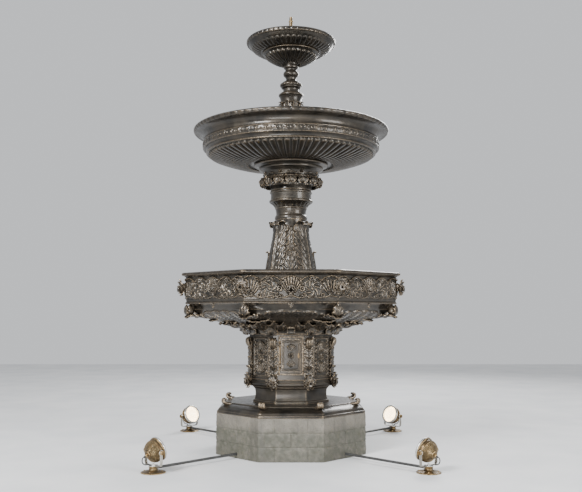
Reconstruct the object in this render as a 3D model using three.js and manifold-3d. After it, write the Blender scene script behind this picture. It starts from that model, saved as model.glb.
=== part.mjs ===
// A three-tier cast-iron fountain with its underwater pond lights. Millimetres, +Z up.
// The origin is the centre of the plinth's underside on the pool floor, and the front face looks along -Y.
import * as THREE from "three";
import { mergeVertices } from "three/addons/utils/BufferGeometryUtils.js";
import Module from "manifold-3d";

const wasm = await Module();
wasm.setup();
const radians = THREE.MathUtils.degToRad;

// ---------- driving dimensions ----------
const GAP = 0.4; // clearance between pieces that sit in or on each other
const SIDES = 8; // the plinth, pedestal and lower basin are octagons, sized by their corner radius
const HALF_SIDE = Math.PI / SIDES; // turns an octagon so that a flat faces -Y
const FLAT = Math.cos(HALF_SIDE); // distance of a flat, as a share of the corner radius
const BOWL_FACETS = 32;
const DISH_FACETS = 24;
const COLUMN_FACETS = 16;
const FITTING_FACETS = 12;
const PIPE_FACETS = 8;

// Heights of the stacked castings, each standing on the one before.
const PLINTH_TOP = 420;
const BASE_TOP = PLINTH_TOP + 100;
const FOOT_TOP = BASE_TOP + 170;
const SPOUT_COLLAR_TOP = FOOT_TOP + 80;
const BODY_TOP = SPOUT_COLLAR_TOP + 460;
const PEDESTAL_TOP = BODY_TOP + 170;
const BASIN_FLOOR = PEDESTAL_TOP + 40;
const PAN_TOP = PEDESTAL_TOP + 155;
const FRIEZE_TOP = PAN_TOP + 295;
const SHAFT_BOTTOM = BASIN_FLOOR + 260;
const COLUMN_COLLAR = SHAFT_BOTTOM + 800;
const COLUMN_CAPITAL = COLUMN_COLLAR + 330;
const BOWL_BOTTOM = COLUMN_CAPITAL + 302;
const BOWL_FLOOR = BOWL_BOTTOM + 36;
const KNOP_BOTTOM = BOWL_FLOOR + 792;
const CUP_BOTTOM = KNOP_BOTTOM + 370;
const DISH_BOTTOM = CUP_BOTTOM + 124;
const DISH_FLOOR = DISH_BOTTOM + 20;
const NOZZLE_PIVOT = DISH_FLOOR + 166;

const PLINTH_CORNER = 850;
const PLINTH_VOID = 560;
const PEDESTAL_CORNER = 484;
const PEDESTAL_WALL = 14;
const PEDESTAL_VOID = 330;
const BASIN_CORNER = 1250;
const BOWL_RADIUS = 1106;
const DISH_RADIUS = 514;

const PUMP_TOP = 240;
const VALVE_LEVEL = 930;
const RISER_RADIUS = 30;
const RISER_BORE = 25;
const RISER_HOLE = 34;

const SPOUT_LEVEL = 1708;
const SPOUT_REACH = BASIN_CORNER + 36;

const DOOR_WIDTH = 210;
const DOOR_BOTTOM = 850;
const DOOR_TOP = 1190;

const LIGHT_RING = 1800; // distance of each pool light from the fountain's axis
const LIGHT_ANGLES = [45, 135, 225, 315].map(radians);
const LIGHT_PIVOT = 190; // height of the tilt axis over the pool floor
const LIGHT_REST_TILT = radians(-20); // the lamps look up and in at the fountain
const CONDUIT_LEVEL = 42;
const CONDUIT_RADIUS = 13;

// ---------- materials ----------
const finish = (color, roughness, metalness) =>
  new THREE.MeshStandardMaterial({ color, roughness, metalness });
const IRON = finish(0x2b2722, 0.45, 0.8);
const STONE = finish(0x8d8573, 0.9, 0);
const BRONZE = finish(0x8a6a3c, 0.4, 0.9);
const STEEL = finish(0xa9aaa8, 0.35, 0.9);
const GLASS = finish(0xfff3d8, 0.05, 0);
const SILVERED = finish(0xf2ead8, 0.15, 0.9);
const PLASTIC = finish(0x20211f, 0.6, 0);

// ---------- shape helpers ----------
// Turns a [radius, height] outline about Z. It runs out along the bottom, up the outside and back down the inside.
function turned(outline, facets = FITTING_FACETS, start = 0) {
  const points = outline.map(([radius, height]) => new THREE.Vector2(radius, height));
  const closesOnAxis = outline[0][0] === 0 && outline.at(-1)[0] === 0;
  if (!closesOnAxis) points.push(points[0].clone());
  return new THREE.LatheGeometry(points, facets, start).rotateX(Math.PI / 2);
}

const octagonal = (outline) => turned(outline, SIDES, HALF_SIDE);
const tube = (inner, outer, low, high, facets) =>
  turned([[inner, low], [outer, low], [outer, high], [inner, high]], facets);
const rod = (radius, low, high, facets) =>
  turned([[0, low], [radius, low], [radius, high], [0, high]], facets);
const block = (x, y, z) => new THREE.BoxGeometry(x, y, z);
const spokeRod = (radius, from, to, angle, height, facets = PIPE_FACETS) =>
  rod(radius, from, to, facets).rotateY(Math.PI / 2).rotateZ(angle).translate(0, 0, height);
const crossRod = (radius, from, to, facets = FITTING_FACETS) =>
  rod(radius, from, to, facets).rotateX(-Math.PI / 2);
const ringOf = (count, makePiece, offset = 0) =>
  Array.from({ length: count }, (_, i) => makePiece((i + offset) * ((2 * Math.PI) / count)));
const atCorners = (makePiece) => ringOf(SIDES, makePiece, 0.5);

function solidOf(geometry) {
  const loose = geometry.index ? geometry.toNonIndexed() : geometry;
  const bare = new THREE.BufferGeometry().setAttribute("position", loose.getAttribute("position"));
  const merged = mergeVertices(bare, 1e-3);
  return new wasm.Manifold(
    new wasm.Mesh({
      numProp: 3,
      vertProperties: merged.attributes.position.array,
      triVerts: new Uint32Array(merged.index.array),
    }),
  );
}

function geometryOf(solid) {
  const { numProp, numVert, vertProperties, triVerts } = solid.getMesh();
  const positions = new Float32Array(numVert * 3);
  for (let i = 0; i < numVert; i++) {
    positions.set(vertProperties.subarray(i * numProp, i * numProp + 3), i * 3);
  }
  return new THREE.BufferGeometry()
    .setAttribute("position", new THREE.BufferAttribute(positions, 3))
    .setIndex(new THREE.BufferAttribute(triVerts, 1));
}

const join = (first, ...others) =>
  geometryOf(others.reduce((sum, other) => sum.add(solidOf(other)), solidOf(first)));
const cut = (first, ...others) =>
  geometryOf(others.reduce((rest, other) => rest.subtract(solidOf(other)), solidOf(first)));

const fountain = new THREE.Group();
function place(name, geometry, material, parent = fountain, height = 0) {
  const mesh = new THREE.Mesh(geometry, material);
  mesh.name = name;
  mesh.position.z = height;
  parent.add(mesh);
}

// ---------- plinth and iron base ----------
function stonePlinth() {
  const ring = octagonal([
    [PLINTH_VOID, 0], [PLINTH_CORNER, 0], [PLINTH_CORNER, PLINTH_TOP], [PLINTH_VOID, PLINTH_TOP],
  ]);
  const conduitHoles = LIGHT_ANGLES.map((angle) =>
    spokeRod(CONDUIT_RADIUS + 3, PLINTH_VOID * 0.8, PLINTH_CORNER * 1.1, angle, CONDUIT_LEVEL));
  return cut(ring, ...conduitHoles);
}

// A sloping plate with an upturned ear at each corner.
function ironBase() {
  const plate = octagonal([
    [PEDESTAL_VOID, 0], [844, 0], [844, 24], [828, 36], [800, 58], [752, 80], [700, 92], [690, 100],
    [PEDESTAL_VOID, 100],
  ]);
  const ears = atCorners((angle) =>
    block(40, 76, 80).rotateY(radians(14)).translate(744, 0, 96).rotateZ(angle));
  return join(plate, ...ears);
}

// ---------- pedestal ----------
function pedestalFoot() {
  return octagonal([
    [PEDESTAL_VOID, 0], [440, 0], [440, 14], [420, 28], [416, 80], [416, 140], [436, 156], [448, 170],
    [PEDESTAL_VOID, 170],
  ]);
}

function pedestalSpoutCollar() {
  const middle = 40;
  const ring = octagonal([[400, 0], [476, 0], [492, 14], [496, 44], [486, 80], [400, 80]]);
  const heads = atCorners((angle) => spokeRod(33, 420, 536, angle, middle));
  const mouths = atCorners((angle) => spokeRod(10, 380, 560, angle, middle, SIDES));
  return cut(join(ring, ...heads), ...mouths);
}

function pedestalBody() {
  const inside = PEDESTAL_CORNER - PEDESTAL_WALL;
  const wall = octagonal([
    [inside, SPOUT_COLLAR_TOP], [PEDESTAL_CORNER, SPOUT_COLLAR_TOP], [PEDESTAL_CORNER, BODY_TOP],
    [inside, BODY_TOP],
  ]);
  const doorway = block(DOOR_WIDTH + 6, 200, DOOR_TOP - DOOR_BOTTOM + 6)
    .translate(0, -PEDESTAL_CORNER, (DOOR_TOP + DOOR_BOTTOM) / 2);
  return cut(wall, doorway);
}

// The capital flares out like a trumpet to meet the bell of the basin.
function pedestalCapital() {
  return octagonal([
    [400, 0], [490, 0], [498, 14], [490, 36], [512, 66], [560, 90], [640, 110], [725, 132],
    [810, 154], [880, 170], [400, 170],
  ]);
}

// ---------- access door, hinged on the left of the front face ----------
const FACE = -PEDESTAL_CORNER * FLAT;
const DOOR_THICKNESS = 12;
const LEAF_FRONT = FACE - 2;
const LEAF_MIDDLE = LEAF_FRONT + DOOR_THICKNESS / 2;
const DOOR_LEVEL = (DOOR_TOP + DOOR_BOTTOM) / 2;
const HINGE_X = -DOOR_WIDTH / 2 - 10;
const HINGE_Y = FACE - 14;
const HINGE_PIN_RADIUS = 5;
const LATCH_X = DOOR_WIDTH / 2 - 26;
const LATCH_STEM_RADIUS = 6.4;

function accessDoor() {
  const leaf = block(DOOR_WIDTH, DOOR_THICKNESS, DOOR_TOP - DOOR_BOTTOM).translate(0, LEAF_MIDDLE, DOOR_LEVEL);
  const straps = [DOOR_BOTTOM + 60, DOOR_TOP - 60].flatMap((height) => [
    block(36, 9, 30).translate(HINGE_X + 18, FACE - 5.5, height),
    rod(9, height - 15, height + 15).translate(HINGE_X, HINGE_Y, 0),
  ]);
  const pinHole = rod(HINGE_PIN_RADIUS + GAP, DOOR_BOTTOM, DOOR_TOP).translate(HINGE_X, HINGE_Y, 0);
  const latchHole = crossRod(LATCH_STEM_RADIUS + GAP, -40, 40).translate(LATCH_X, FACE, DOOR_LEVEL);
  return cut(join(leaf, ...straps), pinHole, latchHole);
}

function doorHingePin() {
  const lugDepth = FACE - HINGE_Y - GAP;
  const pin = rod(HINGE_PIN_RADIUS, DOOR_BOTTOM + 20, DOOR_TOP - 20);
  const lugs = [DOOR_BOTTOM + 100, DOOR_TOP - 100].map((height) =>
    block(14, lugDepth, 24).translate(0, lugDepth / 2, height));
  return join(pin, ...lugs).translate(HINGE_X, HINGE_Y, 0);
}

// A quarter-turn latch. Its tongue stands up inside the doorway and turns behind the wall.
function doorLatch() {
  const grip = block(14, 12, 46).translate(0, -22, 0);
  const stem = crossRod(LATCH_STEM_RADIUS, -18, 13);
  const tongue = block(14, 5, 44).translate(0, 13.5, 14);
  return join(stem, grip, tongue).translate(LATCH_X, LEAF_MIDDLE, DOOR_LEVEL);
}

// ---------- lower basin ----------
function basinPan() {
  const pan = octagonal([
    [RISER_HOLE, 0], [884, 0], [960, 18], [1040, 42], [1096, 70], [1128, 100], [1166, 155],
    [1136, 155], [1112, 120], [1090, 100], [1030, 84], [880, 62], [700, 46], [520, 40], [RISER_HOLE, 40],
  ]);
  const bracket = new THREE.Shape([
    [900, 30], [900, 16], [1060, 26], [1150, 16], [1192, 10], [1206, 34], [1198, 90], [1186, 140],
    [1150, 148], [1110, 100], [1040, 70],
  ].map(([radius, height]) => new THREE.Vector2(radius, height)));
  const brackets = atCorners((angle) =>
    new THREE.ExtrudeGeometry(bracket, { depth: 80, bevelEnabled: false })
      .rotateX(Math.PI / 2).translate(0, 40, 0).rotateZ(angle));
  return join(pan, ...brackets);
}

function basinFrieze() {
  const wall = octagonal([
    [1140, 0], [1200, 0], [1206, 17], [1196, 25], [1200, 45], [1214, 145], [1206, 260], [1216, 277],
    [1226, 295], [1170, 295], [1150, 145],
  ]).translate(0, 0, PAN_TOP);
  return cut(wall, ...atCorners((angle) => spokeRod(24, 1080, 1400, angle, SPOUT_LEVEL)));
}

function basinCoping() {
  return octagonal([
    [1130, 0], [1240, 0], [BASIN_CORNER, 10], [1248, 27], [1236, 35], [1140, 35], [1128, 22],
  ]);
}

// A gallery pipe inside the frieze feeds one spout at each corner.
function cornerSpoutRing() {
  const gallery = octagonal([[1100, -18], [1136, -18], [1136, 18], [1100, 18]]).translate(0, 0, SPOUT_LEVEL);
  const pipes = atCorners((angle) => spokeRod(22, 1110, SPOUT_REACH - 10, angle, SPOUT_LEVEL));
  const lips = atCorners((angle) => spokeRod(34, 1222, SPOUT_REACH, angle, SPOUT_LEVEL));
  const mouths = atCorners((angle) => spokeRod(12, 1240, SPOUT_REACH + 20, angle, SPOUT_LEVEL, SIDES));
  return cut(join(gallery, ...pipes, ...lips), ...mouths);
}

// ---------- column ----------
function columnBase() {
  return turned([
    [RISER_HOLE, 0], [330, 0], [330, 36], [300, 64], [284, 130], [290, 190], [310, 230], [318, 248],
    [312, 260], [RISER_HOLE, 260],
  ], COLUMN_FACETS);
}

function columnShaft() {
  return turned([
    [RISER_HOLE, 0], [300, 0], [304, 60], [286, 160], [262, 356], [247, 419], [228, 525], [204, 631],
    [198, 716], [226, 755], [224, 774], [182, 782], [176, 800], [RISER_HOLE, 800],
  ], COLUMN_FACETS);
}

function columnCollar() {
  return turned([
    [RISER_HOLE, 0], [180, 0], [180, 40], [170, 56], [172, 100], [187, 151], [206, 172], [240, 198],
    [243, 216], [229, 228], [229, 296], [238, 306], [238, 320], [232, 330], [RISER_HOLE, 330],
  ], COLUMN_FACETS);
}

function columnCapital() {
  return turned([
    [RISER_HOLE, 0], [232, 0], [234, 70], [262, 95], [330, 122], [326, 154], [300, 170], [345, 216],
    [362, 240], [362, 266], [376, 274], [416, 282], [418, 302], [RISER_HOLE, 302],
  ], COLUMN_FACETS);
}

// ---------- middle bowl and baluster ----------
function middleBowl() {
  return turned([
    [RISER_HOLE, 0], [480, 2], [640, 18], [745, 48], [858, 85], [928, 118], [952, 132], [965, 158],
    [990, 174], [996, 208], [992, 288], [1012, 324], [1060, 348], [1096, 354], [BOWL_RADIUS, 368],
    [BOWL_RADIUS, 388], [1096, 398], [1070, 398], [1050, 368], [990, 338], [968, 288], [960, 198],
    [930, 160], [850, 118], [740, 80], [600, 48], [420, 36], [RISER_HOLE, 36],
  ], BOWL_FACETS);
}

function balusterVase() {
  return turned([
    [RISER_HOLE, 0], [210, 0], [210, 36], [176, 64], [120, 134], [92, 254], [88, 354], [104, 474],
    [114, 594], [116, 674], [122, 732], [136, 772], [138, 792], [RISER_HOLE, 792],
  ]);
}

function balusterKnop() {
  return turned([
    [RISER_HOLE, 0], [126, 0], [94, 25], [92, 60], [112, 86], [116, 111], [108, 136], [70, 154],
    [56, 176], [70, 200], [84, 220], [84, 262], [66, 284], [72, 302], [86, 320], [88, 370],
    [RISER_HOLE, 370],
  ]);
}

// ---------- top bowl ----------
function topCup() {
  return turned([
    [RISER_HOLE, 0], [90, 0], [170, 18], [245, 58], [300, 96], [326, 112], [322, 124], [296, 124],
    [286, 108], [238, 76], [160, 38], [RISER_HOLE, 30],
  ], DISH_FACETS);
}

function topBowl() {
  return turned([
    [RISER_HOLE, 0], [340, 0], [360, 6], [420, 34], [470, 72], [500, 102], [512, 108],
    [DISH_RADIUS, 126], [508, 143], [490, 143], [480, 118], [440, 78], [400, 50], [330, 20],
    [RISER_HOLE, 20],
  ], DISH_FACETS);
}

// ---------- pump, riser and valve ----------
// A submersible pump: the motor fills the lower half, and the impeller chamber draws through side holes.
function pumpBody() {
  const shell = turned([
    [0, 0], [150, 0], [150, 14], [128, 20], [128, 150], [110, 176], [50, 196], [46, PUMP_TOP],
    [RISER_BORE, PUMP_TOP], [RISER_BORE, 150], [96, 140], [96, 70], [8, 66], [8, 30], [0, 30],
  ]);
  return cut(shell, ...ringOf(8, (angle) => spokeRod(13, 80, 160, angle, 106, SIDES)));
}

function pumpImpeller() {
  const shaft = rod(7, 31, 90);
  const disc = rod(84, 74, 84);
  const hub = rod(20, 80, 130);
  const vanes = ringOf(6, (angle) => block(64, 6, 34).translate(50, 0, 98).rotateZ(angle));
  return join(disc, shaft, hub, ...vanes);
}

const riserLower = () => tube(RISER_BORE, RISER_RADIUS, PUMP_TOP + GAP, VALVE_LEVEL - 50 - GAP);

const VALVE_STEM = 72;

function valveBody() {
  const barrel = turned([
    [RISER_BORE, -50], [40, -50], [40, -30], [52, -24], [52, 24], [40, 30], [40, 50], [RISER_BORE, 50],
  ]);
  const stemBoss = crossRod(16, -VALVE_STEM, 0);
  return cut(join(barrel, stemBoss), rod(RISER_BORE, -60, 60));
}

function valveLever() {
  const hub = crossRod(13, -VALVE_STEM - 18, -VALVE_STEM - GAP);
  const arm = block(26, 8, 130).translate(0, -VALVE_STEM - 9, 60);
  const grip = block(34, 15, 60).translate(0, -VALVE_STEM - 9, 130);
  return join(hub, arm, grip);
}

// The upper riser ends in a cup that holds the nozzle's ball.
function riserUpper() {
  return turned([
    [RISER_BORE, VALVE_LEVEL + 50 + GAP], [RISER_RADIUS, VALVE_LEVEL + 50 + GAP],
    [RISER_RADIUS, NOZZLE_PIVOT - 50], [46, NOZZLE_PIVOT - 36], [46, NOZZLE_PIVOT], [40, NOZZLE_PIVOT],
    [38, NOZZLE_PIVOT - 18], [RISER_BORE, NOZZLE_PIVOT - 40],
  ]);
}

function jetNozzle() {
  return turned([
    [12, -34], [20, -30], [33, -14], [36, 0], [33, 14], [24, 28], [22, 60], [22, 200], [18, 252], [12, 252],
  ]);
}

// ---------- fixed lights ----------
// A loop inside the plinth and four pipes on the pool floor carry the cables to the pool lights.
function conduitHarness() {
  const loop = tube(286, 312, -CONDUIT_RADIUS, CONDUIT_RADIUS, COLUMN_FACETS).translate(0, 0, CONDUIT_LEVEL);
  const pipes = LIGHT_ANGLES.map((angle) =>
    spokeRod(CONDUIT_RADIUS, 296, LIGHT_RING - LIGHT_POST - 1, angle, CONDUIT_LEVEL));
  return join(loop, ...pipes);
}

// A bronze trough round the nozzle's riser, with a glass ring let into it.
const TOP_TROUGH = { inner: 60, outer: 124, wall: 10, depth: 30, floor: 12 };

function topRingLight() {
  const { inner, outer, wall, depth, floor } = TOP_TROUGH;
  return turned([
    [inner, 0], [outer, 0], [outer, depth], [outer - wall, depth], [outer - wall, floor],
    [inner + wall, floor], [inner + wall, depth], [inner, depth],
  ], COLUMN_FACETS);
}

function topRingGlass() {
  const { inner, outer, wall, depth, floor } = TOP_TROUGH;
  return tube(inner + wall + 1, outer - wall - 1, floor + GAP, depth - 2, COLUMN_FACETS);
}

// The two lights that stand on the sloping floor of the lower basin and look straight up.
const BASIN_LIGHTS = [
  { side: "left", x: -800, y: 0, seat: BASIN_FLOOR + 37 },
  { side: "front", x: 0, y: -620, seat: BASIN_FLOOR + 15 },
];
const PUCK_FLOOR = 24;
const PUCK_HEIGHT = 70;

function basinLightHousing() {
  return turned([
    [0, 0], [92, 0], [92, 8], [70, 14], [76, 58], [84, 62], [84, PUCK_HEIGHT], [64, PUCK_HEIGHT],
    [64, PUCK_FLOOR], [0, PUCK_FLOOR],
  ]);
}

function basinLightLens() {
  return turned([
    [0, PUCK_FLOOR + GAP], [63, PUCK_FLOOR + GAP], [63, PUCK_HEIGHT - 4], [40, PUCK_HEIGHT + 4],
    [0, PUCK_HEIGHT + 8],
  ]);
}

// ---------- pool lights ----------
const LIGHT_POST = 40;
const POST_TOP = 60;
const YOKE_PLATE = 7;
const YOKE_INSIDE = 118;
const YOKE_OUTSIDE = YOKE_INSIDE + YOKE_PLATE;
const YOKE_BOTTOM = POST_TOP + GAP - LIGHT_PIVOT; // measured down from the tilt axis
const STRAP_WIDTH = 30;
const TRUNNION = 9;
const RIM = 112; // radius of the housing's flange and of its bezel
const FLANGE_TOP = 48; // height of the flange over the tilt axis
const GLASS_SEAT = 34;
const GLAND_TIP = -98; // the cable gland stands at the back of the housing

function lightBase() {
  return turned([
    [0, 0], [115, 0], [115, 9], [100, 15], [50, 20], [LIGHT_POST, 27], [LIGHT_POST, POST_TOP], [0, POST_TOP],
  ]);
}

function lightYoke() {
  const width = 2 * YOKE_OUTSIDE;
  const plate = rod(LIGHT_POST, YOKE_BOTTOM, YOKE_BOTTOM + YOKE_PLATE);
  const bridge = block(STRAP_WIDTH, width, YOKE_PLATE).translate(0, 0, YOKE_BOTTOM + YOKE_PLATE / 2);
  const arms = [-1, 1].flatMap((side) => [
    block(STRAP_WIDTH, YOKE_PLATE, -YOKE_BOTTOM)
      .translate(0, side * (YOKE_INSIDE + YOKE_PLATE / 2), YOKE_BOTTOM / 2),
    crossRod(STRAP_WIDTH / 2, -YOKE_PLATE / 2, YOKE_PLATE / 2)
      .translate(0, side * (YOKE_INSIDE + YOKE_PLATE / 2), 0),
  ]);
  return cut(join(plate, bridge, ...arms), crossRod(TRUNNION + GAP, -width, width));
}

// The housing turns in the yoke on two trunnions, each clamped by a round knob outside the strap.
function lightHousing() {
  const bowl = turned([
    [0, GLAND_TIP], [9, GLAND_TIP], [12, GLAND_TIP + 6], [15, -88], [15, -78],
    [34, -78], [42, -64], [80, -44], [104, 10], [104, 32], [RIM, 38], [RIM, FLANGE_TOP],
    [92, FLANGE_TOP], [92, 6], [60, -40], [0, -40],
  ]);
  const trunnions = [-1, 1].flatMap((side) => [
    crossRod(TRUNNION, 98, YOKE_OUTSIDE + 10).rotateZ(side > 0 ? 0 : Math.PI),
    crossRod(19, YOKE_OUTSIDE + 1, YOKE_OUTSIDE + 18, PIPE_FACETS).rotateZ(side > 0 ? 0 : Math.PI),
  ]);
  return join(bowl, ...trunnions);
}

function lightReflector() {
  return turned([
    [0, -39], [56, -39], [90, 10], [90, GLASS_SEAT - GAP], [84, GLASS_SEAT - GAP], [50, -20], [18, -20],
    [14, 4], [0, 8],
  ]);
}

function lightLens() {
  return turned([
    [0, GLASS_SEAT + 16], [60, GLASS_SEAT + 9], [84, GLASS_SEAT], [91, GLASS_SEAT], [91, FLANGE_TOP + 2],
    [60, FLANGE_TOP + 12], [0, FLANGE_TOP + 20],
  ]);
}

function lightBezel() {
  const ring = turned([
    [93, FLANGE_TOP + GAP], [RIM, FLANGE_TOP + GAP], [RIM, 60], [106, 66], [86, 66], [86, 60], [93, 54],
  ]);
  const screws = ringOf(6, (angle) => rod(5, 62, 69, 6).translate(99, 0, 0).rotateZ(angle), 0.5);
  return join(ring, ...screws);
}

function poolLight(number, angle) {
  const light = new THREE.Group();
  light.position.set(LIGHT_RING * Math.cos(angle), LIGHT_RING * Math.sin(angle), 0);
  light.rotation.z = angle;
  fountain.add(light);
  const head = new THREE.Group();
  head.position.z = LIGHT_PIVOT;
  head.rotation.y = LIGHT_REST_TILT;
  light.add(head);
  place(`light_${number}_base`, lightBase(), BRONZE, light);
  place(`light_${number}_yoke`, lightYoke(), STEEL, light, LIGHT_PIVOT);
  place(`light_${number}_housing`, lightHousing(), BRONZE, head);
  place(`light_${number}_reflector`, lightReflector(), SILVERED, head);
  place(`light_${number}_lens`, lightLens(), GLASS, head);
  place(`light_${number}_bezel`, lightBezel(), BRONZE, head);
}

// ---------- assembly ----------
place("stone_plinth", stonePlinth(), STONE);
place("iron_base", ironBase(), IRON, fountain, PLINTH_TOP);
place("pedestal_foot", pedestalFoot(), IRON, fountain, BASE_TOP);
place("pedestal_spout_collar", pedestalSpoutCollar(), IRON, fountain, FOOT_TOP);
place("pedestal_body", pedestalBody(), IRON);
place("pedestal_capital", pedestalCapital(), IRON, fountain, BODY_TOP);
place("access_door", accessDoor(), IRON);
place("door_hinge_pin", doorHingePin(), STEEL);
place("door_latch", doorLatch(), BRONZE);
place("basin_pan", basinPan(), IRON, fountain, PEDESTAL_TOP);
place("basin_frieze", basinFrieze(), IRON);
place("basin_coping", basinCoping(), IRON, fountain, FRIEZE_TOP);
place("corner_spout_ring", cornerSpoutRing(), IRON);
place("column_base", columnBase(), IRON, fountain, BASIN_FLOOR);
place("column_shaft", columnShaft(), IRON, fountain, SHAFT_BOTTOM);
place("column_collar", columnCollar(), IRON, fountain, COLUMN_COLLAR);
place("column_capital", columnCapital(), IRON, fountain, COLUMN_CAPITAL);
place("middle_bowl", middleBowl(), IRON, fountain, BOWL_BOTTOM);
place("baluster_vase", balusterVase(), IRON, fountain, BOWL_FLOOR);
place("baluster_knop", balusterKnop(), IRON, fountain, KNOP_BOTTOM);
place("top_cup", topCup(), IRON, fountain, CUP_BOTTOM);
place("top_bowl", topBowl(), IRON, fountain, DISH_BOTTOM);
place("pump_body", pumpBody(), PLASTIC);
place("pump_impeller", pumpImpeller(), PLASTIC);
place("riser_lower", riserLower(), STEEL);
place("valve_body", valveBody(), BRONZE, fountain, VALVE_LEVEL);
place("valve_lever", valveLever(), PLASTIC, fountain, VALVE_LEVEL);
place("riser_upper", riserUpper(), STEEL);
place("jet_nozzle", jetNozzle(), BRONZE, fountain, NOZZLE_PIVOT);
place("conduit_harness", conduitHarness(), STEEL);
place("top_ring_light", topRingLight(), BRONZE, fountain, DISH_FLOOR + GAP);
place("top_ring_glass", topRingGlass(), GLASS, fountain, DISH_FLOOR + GAP);
for (const { side, x, y, seat } of BASIN_LIGHTS) {
  place(`basin_light_${side}_housing`, basinLightHousing().translate(x, y, 0), BRONZE, fountain, seat);
  place(`basin_light_${side}_lens`, basinLightLens().translate(x, y, 0), GLASS, fountain, seat);
}
LIGHT_ANGLES.forEach((angle, i) => poolLight(i + 1, angle));

export default fountain;
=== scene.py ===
"""The looks of the tiered fountain and its underwater lights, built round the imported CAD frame.

The shapes are written in millimetres, like the CAD, and scaled to metres when a mesh is made.
"""

import math

import bpy
import numpy as np
from mathutils import Matrix, Vector


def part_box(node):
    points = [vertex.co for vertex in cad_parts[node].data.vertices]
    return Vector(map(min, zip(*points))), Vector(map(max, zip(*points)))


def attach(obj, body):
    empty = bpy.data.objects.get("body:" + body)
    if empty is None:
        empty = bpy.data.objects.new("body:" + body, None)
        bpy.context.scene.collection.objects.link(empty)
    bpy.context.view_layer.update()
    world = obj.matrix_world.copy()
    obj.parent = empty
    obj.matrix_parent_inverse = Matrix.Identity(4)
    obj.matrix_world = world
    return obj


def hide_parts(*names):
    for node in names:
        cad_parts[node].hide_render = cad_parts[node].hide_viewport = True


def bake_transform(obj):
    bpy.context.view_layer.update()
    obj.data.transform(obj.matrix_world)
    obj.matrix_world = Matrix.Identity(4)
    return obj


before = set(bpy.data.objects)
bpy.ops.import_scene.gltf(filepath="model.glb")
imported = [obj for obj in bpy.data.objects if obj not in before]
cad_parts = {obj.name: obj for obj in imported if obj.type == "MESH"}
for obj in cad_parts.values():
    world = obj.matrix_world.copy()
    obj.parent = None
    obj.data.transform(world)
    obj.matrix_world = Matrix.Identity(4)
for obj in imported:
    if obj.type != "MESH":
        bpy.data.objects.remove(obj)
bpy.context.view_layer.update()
MM = 0.001
TAU = 2 * math.pi
SIDES = 8
HALF_SIDE = math.pi / SIDES
FLAT = math.cos(HALF_SIDE)
HALF_WIDTH = math.sin(HALF_SIDE)  # half the width of an octagon's face, as a share of its corner radius
SLIM = (0.5, 0.7, 1, 0.78, 0.4, 0.15)  # a leaf's width from root to tip, as a share of its greatest
BROAD = (0.8, 0.92, 1, 1, 0.86, 0.5)
CUPPED = (0.7, 0.8, 0.95, 1, 0.8, 0.45)
BORE = 34  # the hole in each casting that the riser pipe passes through
PLINTH_HOLLOW, BASE_HOLLOW, PEDESTAL_HOLLOW = 560, 330, 400
CORNERS = [(k + 0.5) * TAU / SIDES for k in range(SIDES)]
FACES = [k * TAU / SIDES - math.pi / 2 for k in range(SIDES)]  # the first face looks along -Y


def low(node):
    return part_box(node)[0].z / MM


def high(node):
    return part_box(node)[1].z / MM


def radius(node):
    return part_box(node)[1].x / MM


# ---------- shapes: (vertices, quads, triangles) in millimetres ----------
def travelled(line):
    """How far along the line each of its points is."""
    return np.r_[0, np.linalg.norm(np.diff(line, axis=0), axis=1).cumsum()]


def clamp(value):
    return np.clip(value, 0, 1)


def unit(vectors):
    return vectors / np.linalg.norm(vectors, axis=1)[:, None]


def quads_only(verts, quads):
    return verts, quads, np.zeros((0, 3), int)


def smooth_line(points, step):
    """The points joined by a smooth curve, or a straight line when there are two, at an even spacing."""
    p = np.array(points, float)
    if len(p) > 2:
        gaps = np.linalg.norm(np.diff(p, axis=0), axis=1)
        at = np.r_[0, gaps.cumsum()]
        slope = np.gradient(p, at, axis=0)
        fine = np.linspace(0, at[-1], 24 * len(p))
        k = np.clip(np.searchsorted(at, fine, side="right") - 1, 0, len(gaps) - 1)
        h = gaps[k, None]
        s = (fine - at[k])[:, None] / h
        p = (
            p[k] * (1 + 2 * s) * (1 - s) ** 2
            + slope[k] * h * s * (1 - s) ** 2
            + p[k + 1] * s**2 * (3 - 2 * s)
            + slope[k + 1] * h * s**2 * (s - 1)
        )
    run = travelled(p)
    even = np.linspace(0, run[-1], max(1, math.ceil(run[-1] / step)) + 1)
    return np.stack([np.interp(even, run, p[:, i]) for i in range(p.shape[1])], axis=1)


def outward(line):
    """The unit normals of a (radius, height) line that runs up the outside."""
    run = np.gradient(line, axis=0)
    run /= np.linalg.norm(run, axis=1)[:, None] + 1e-9
    return np.stack([run[:, 1], -run[:, 0]], axis=1)


def grid_faces(rows, columns, wrap_rows):
    """Quads of a grid whose columns go round and whose rows may close on themselves."""
    last = rows if wrap_rows else rows - 1
    i, j = np.meshgrid(np.arange(last), np.arange(columns), indexing="ij")
    i2, j2 = (i + 1) % rows, (j + 1) % columns
    return np.stack(
        [i * columns + j, i * columns + j2, i2 * columns + j2, i2 * columns + j], axis=-1
    ).reshape(-1, 4)


def plain_step(points):
    """The spacing for a stretch of outline without relief: close round a curve and wide along a straight."""
    return 4 if len(points) > 2 else min(24, max(2, math.dist(*points) / 4))


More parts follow.
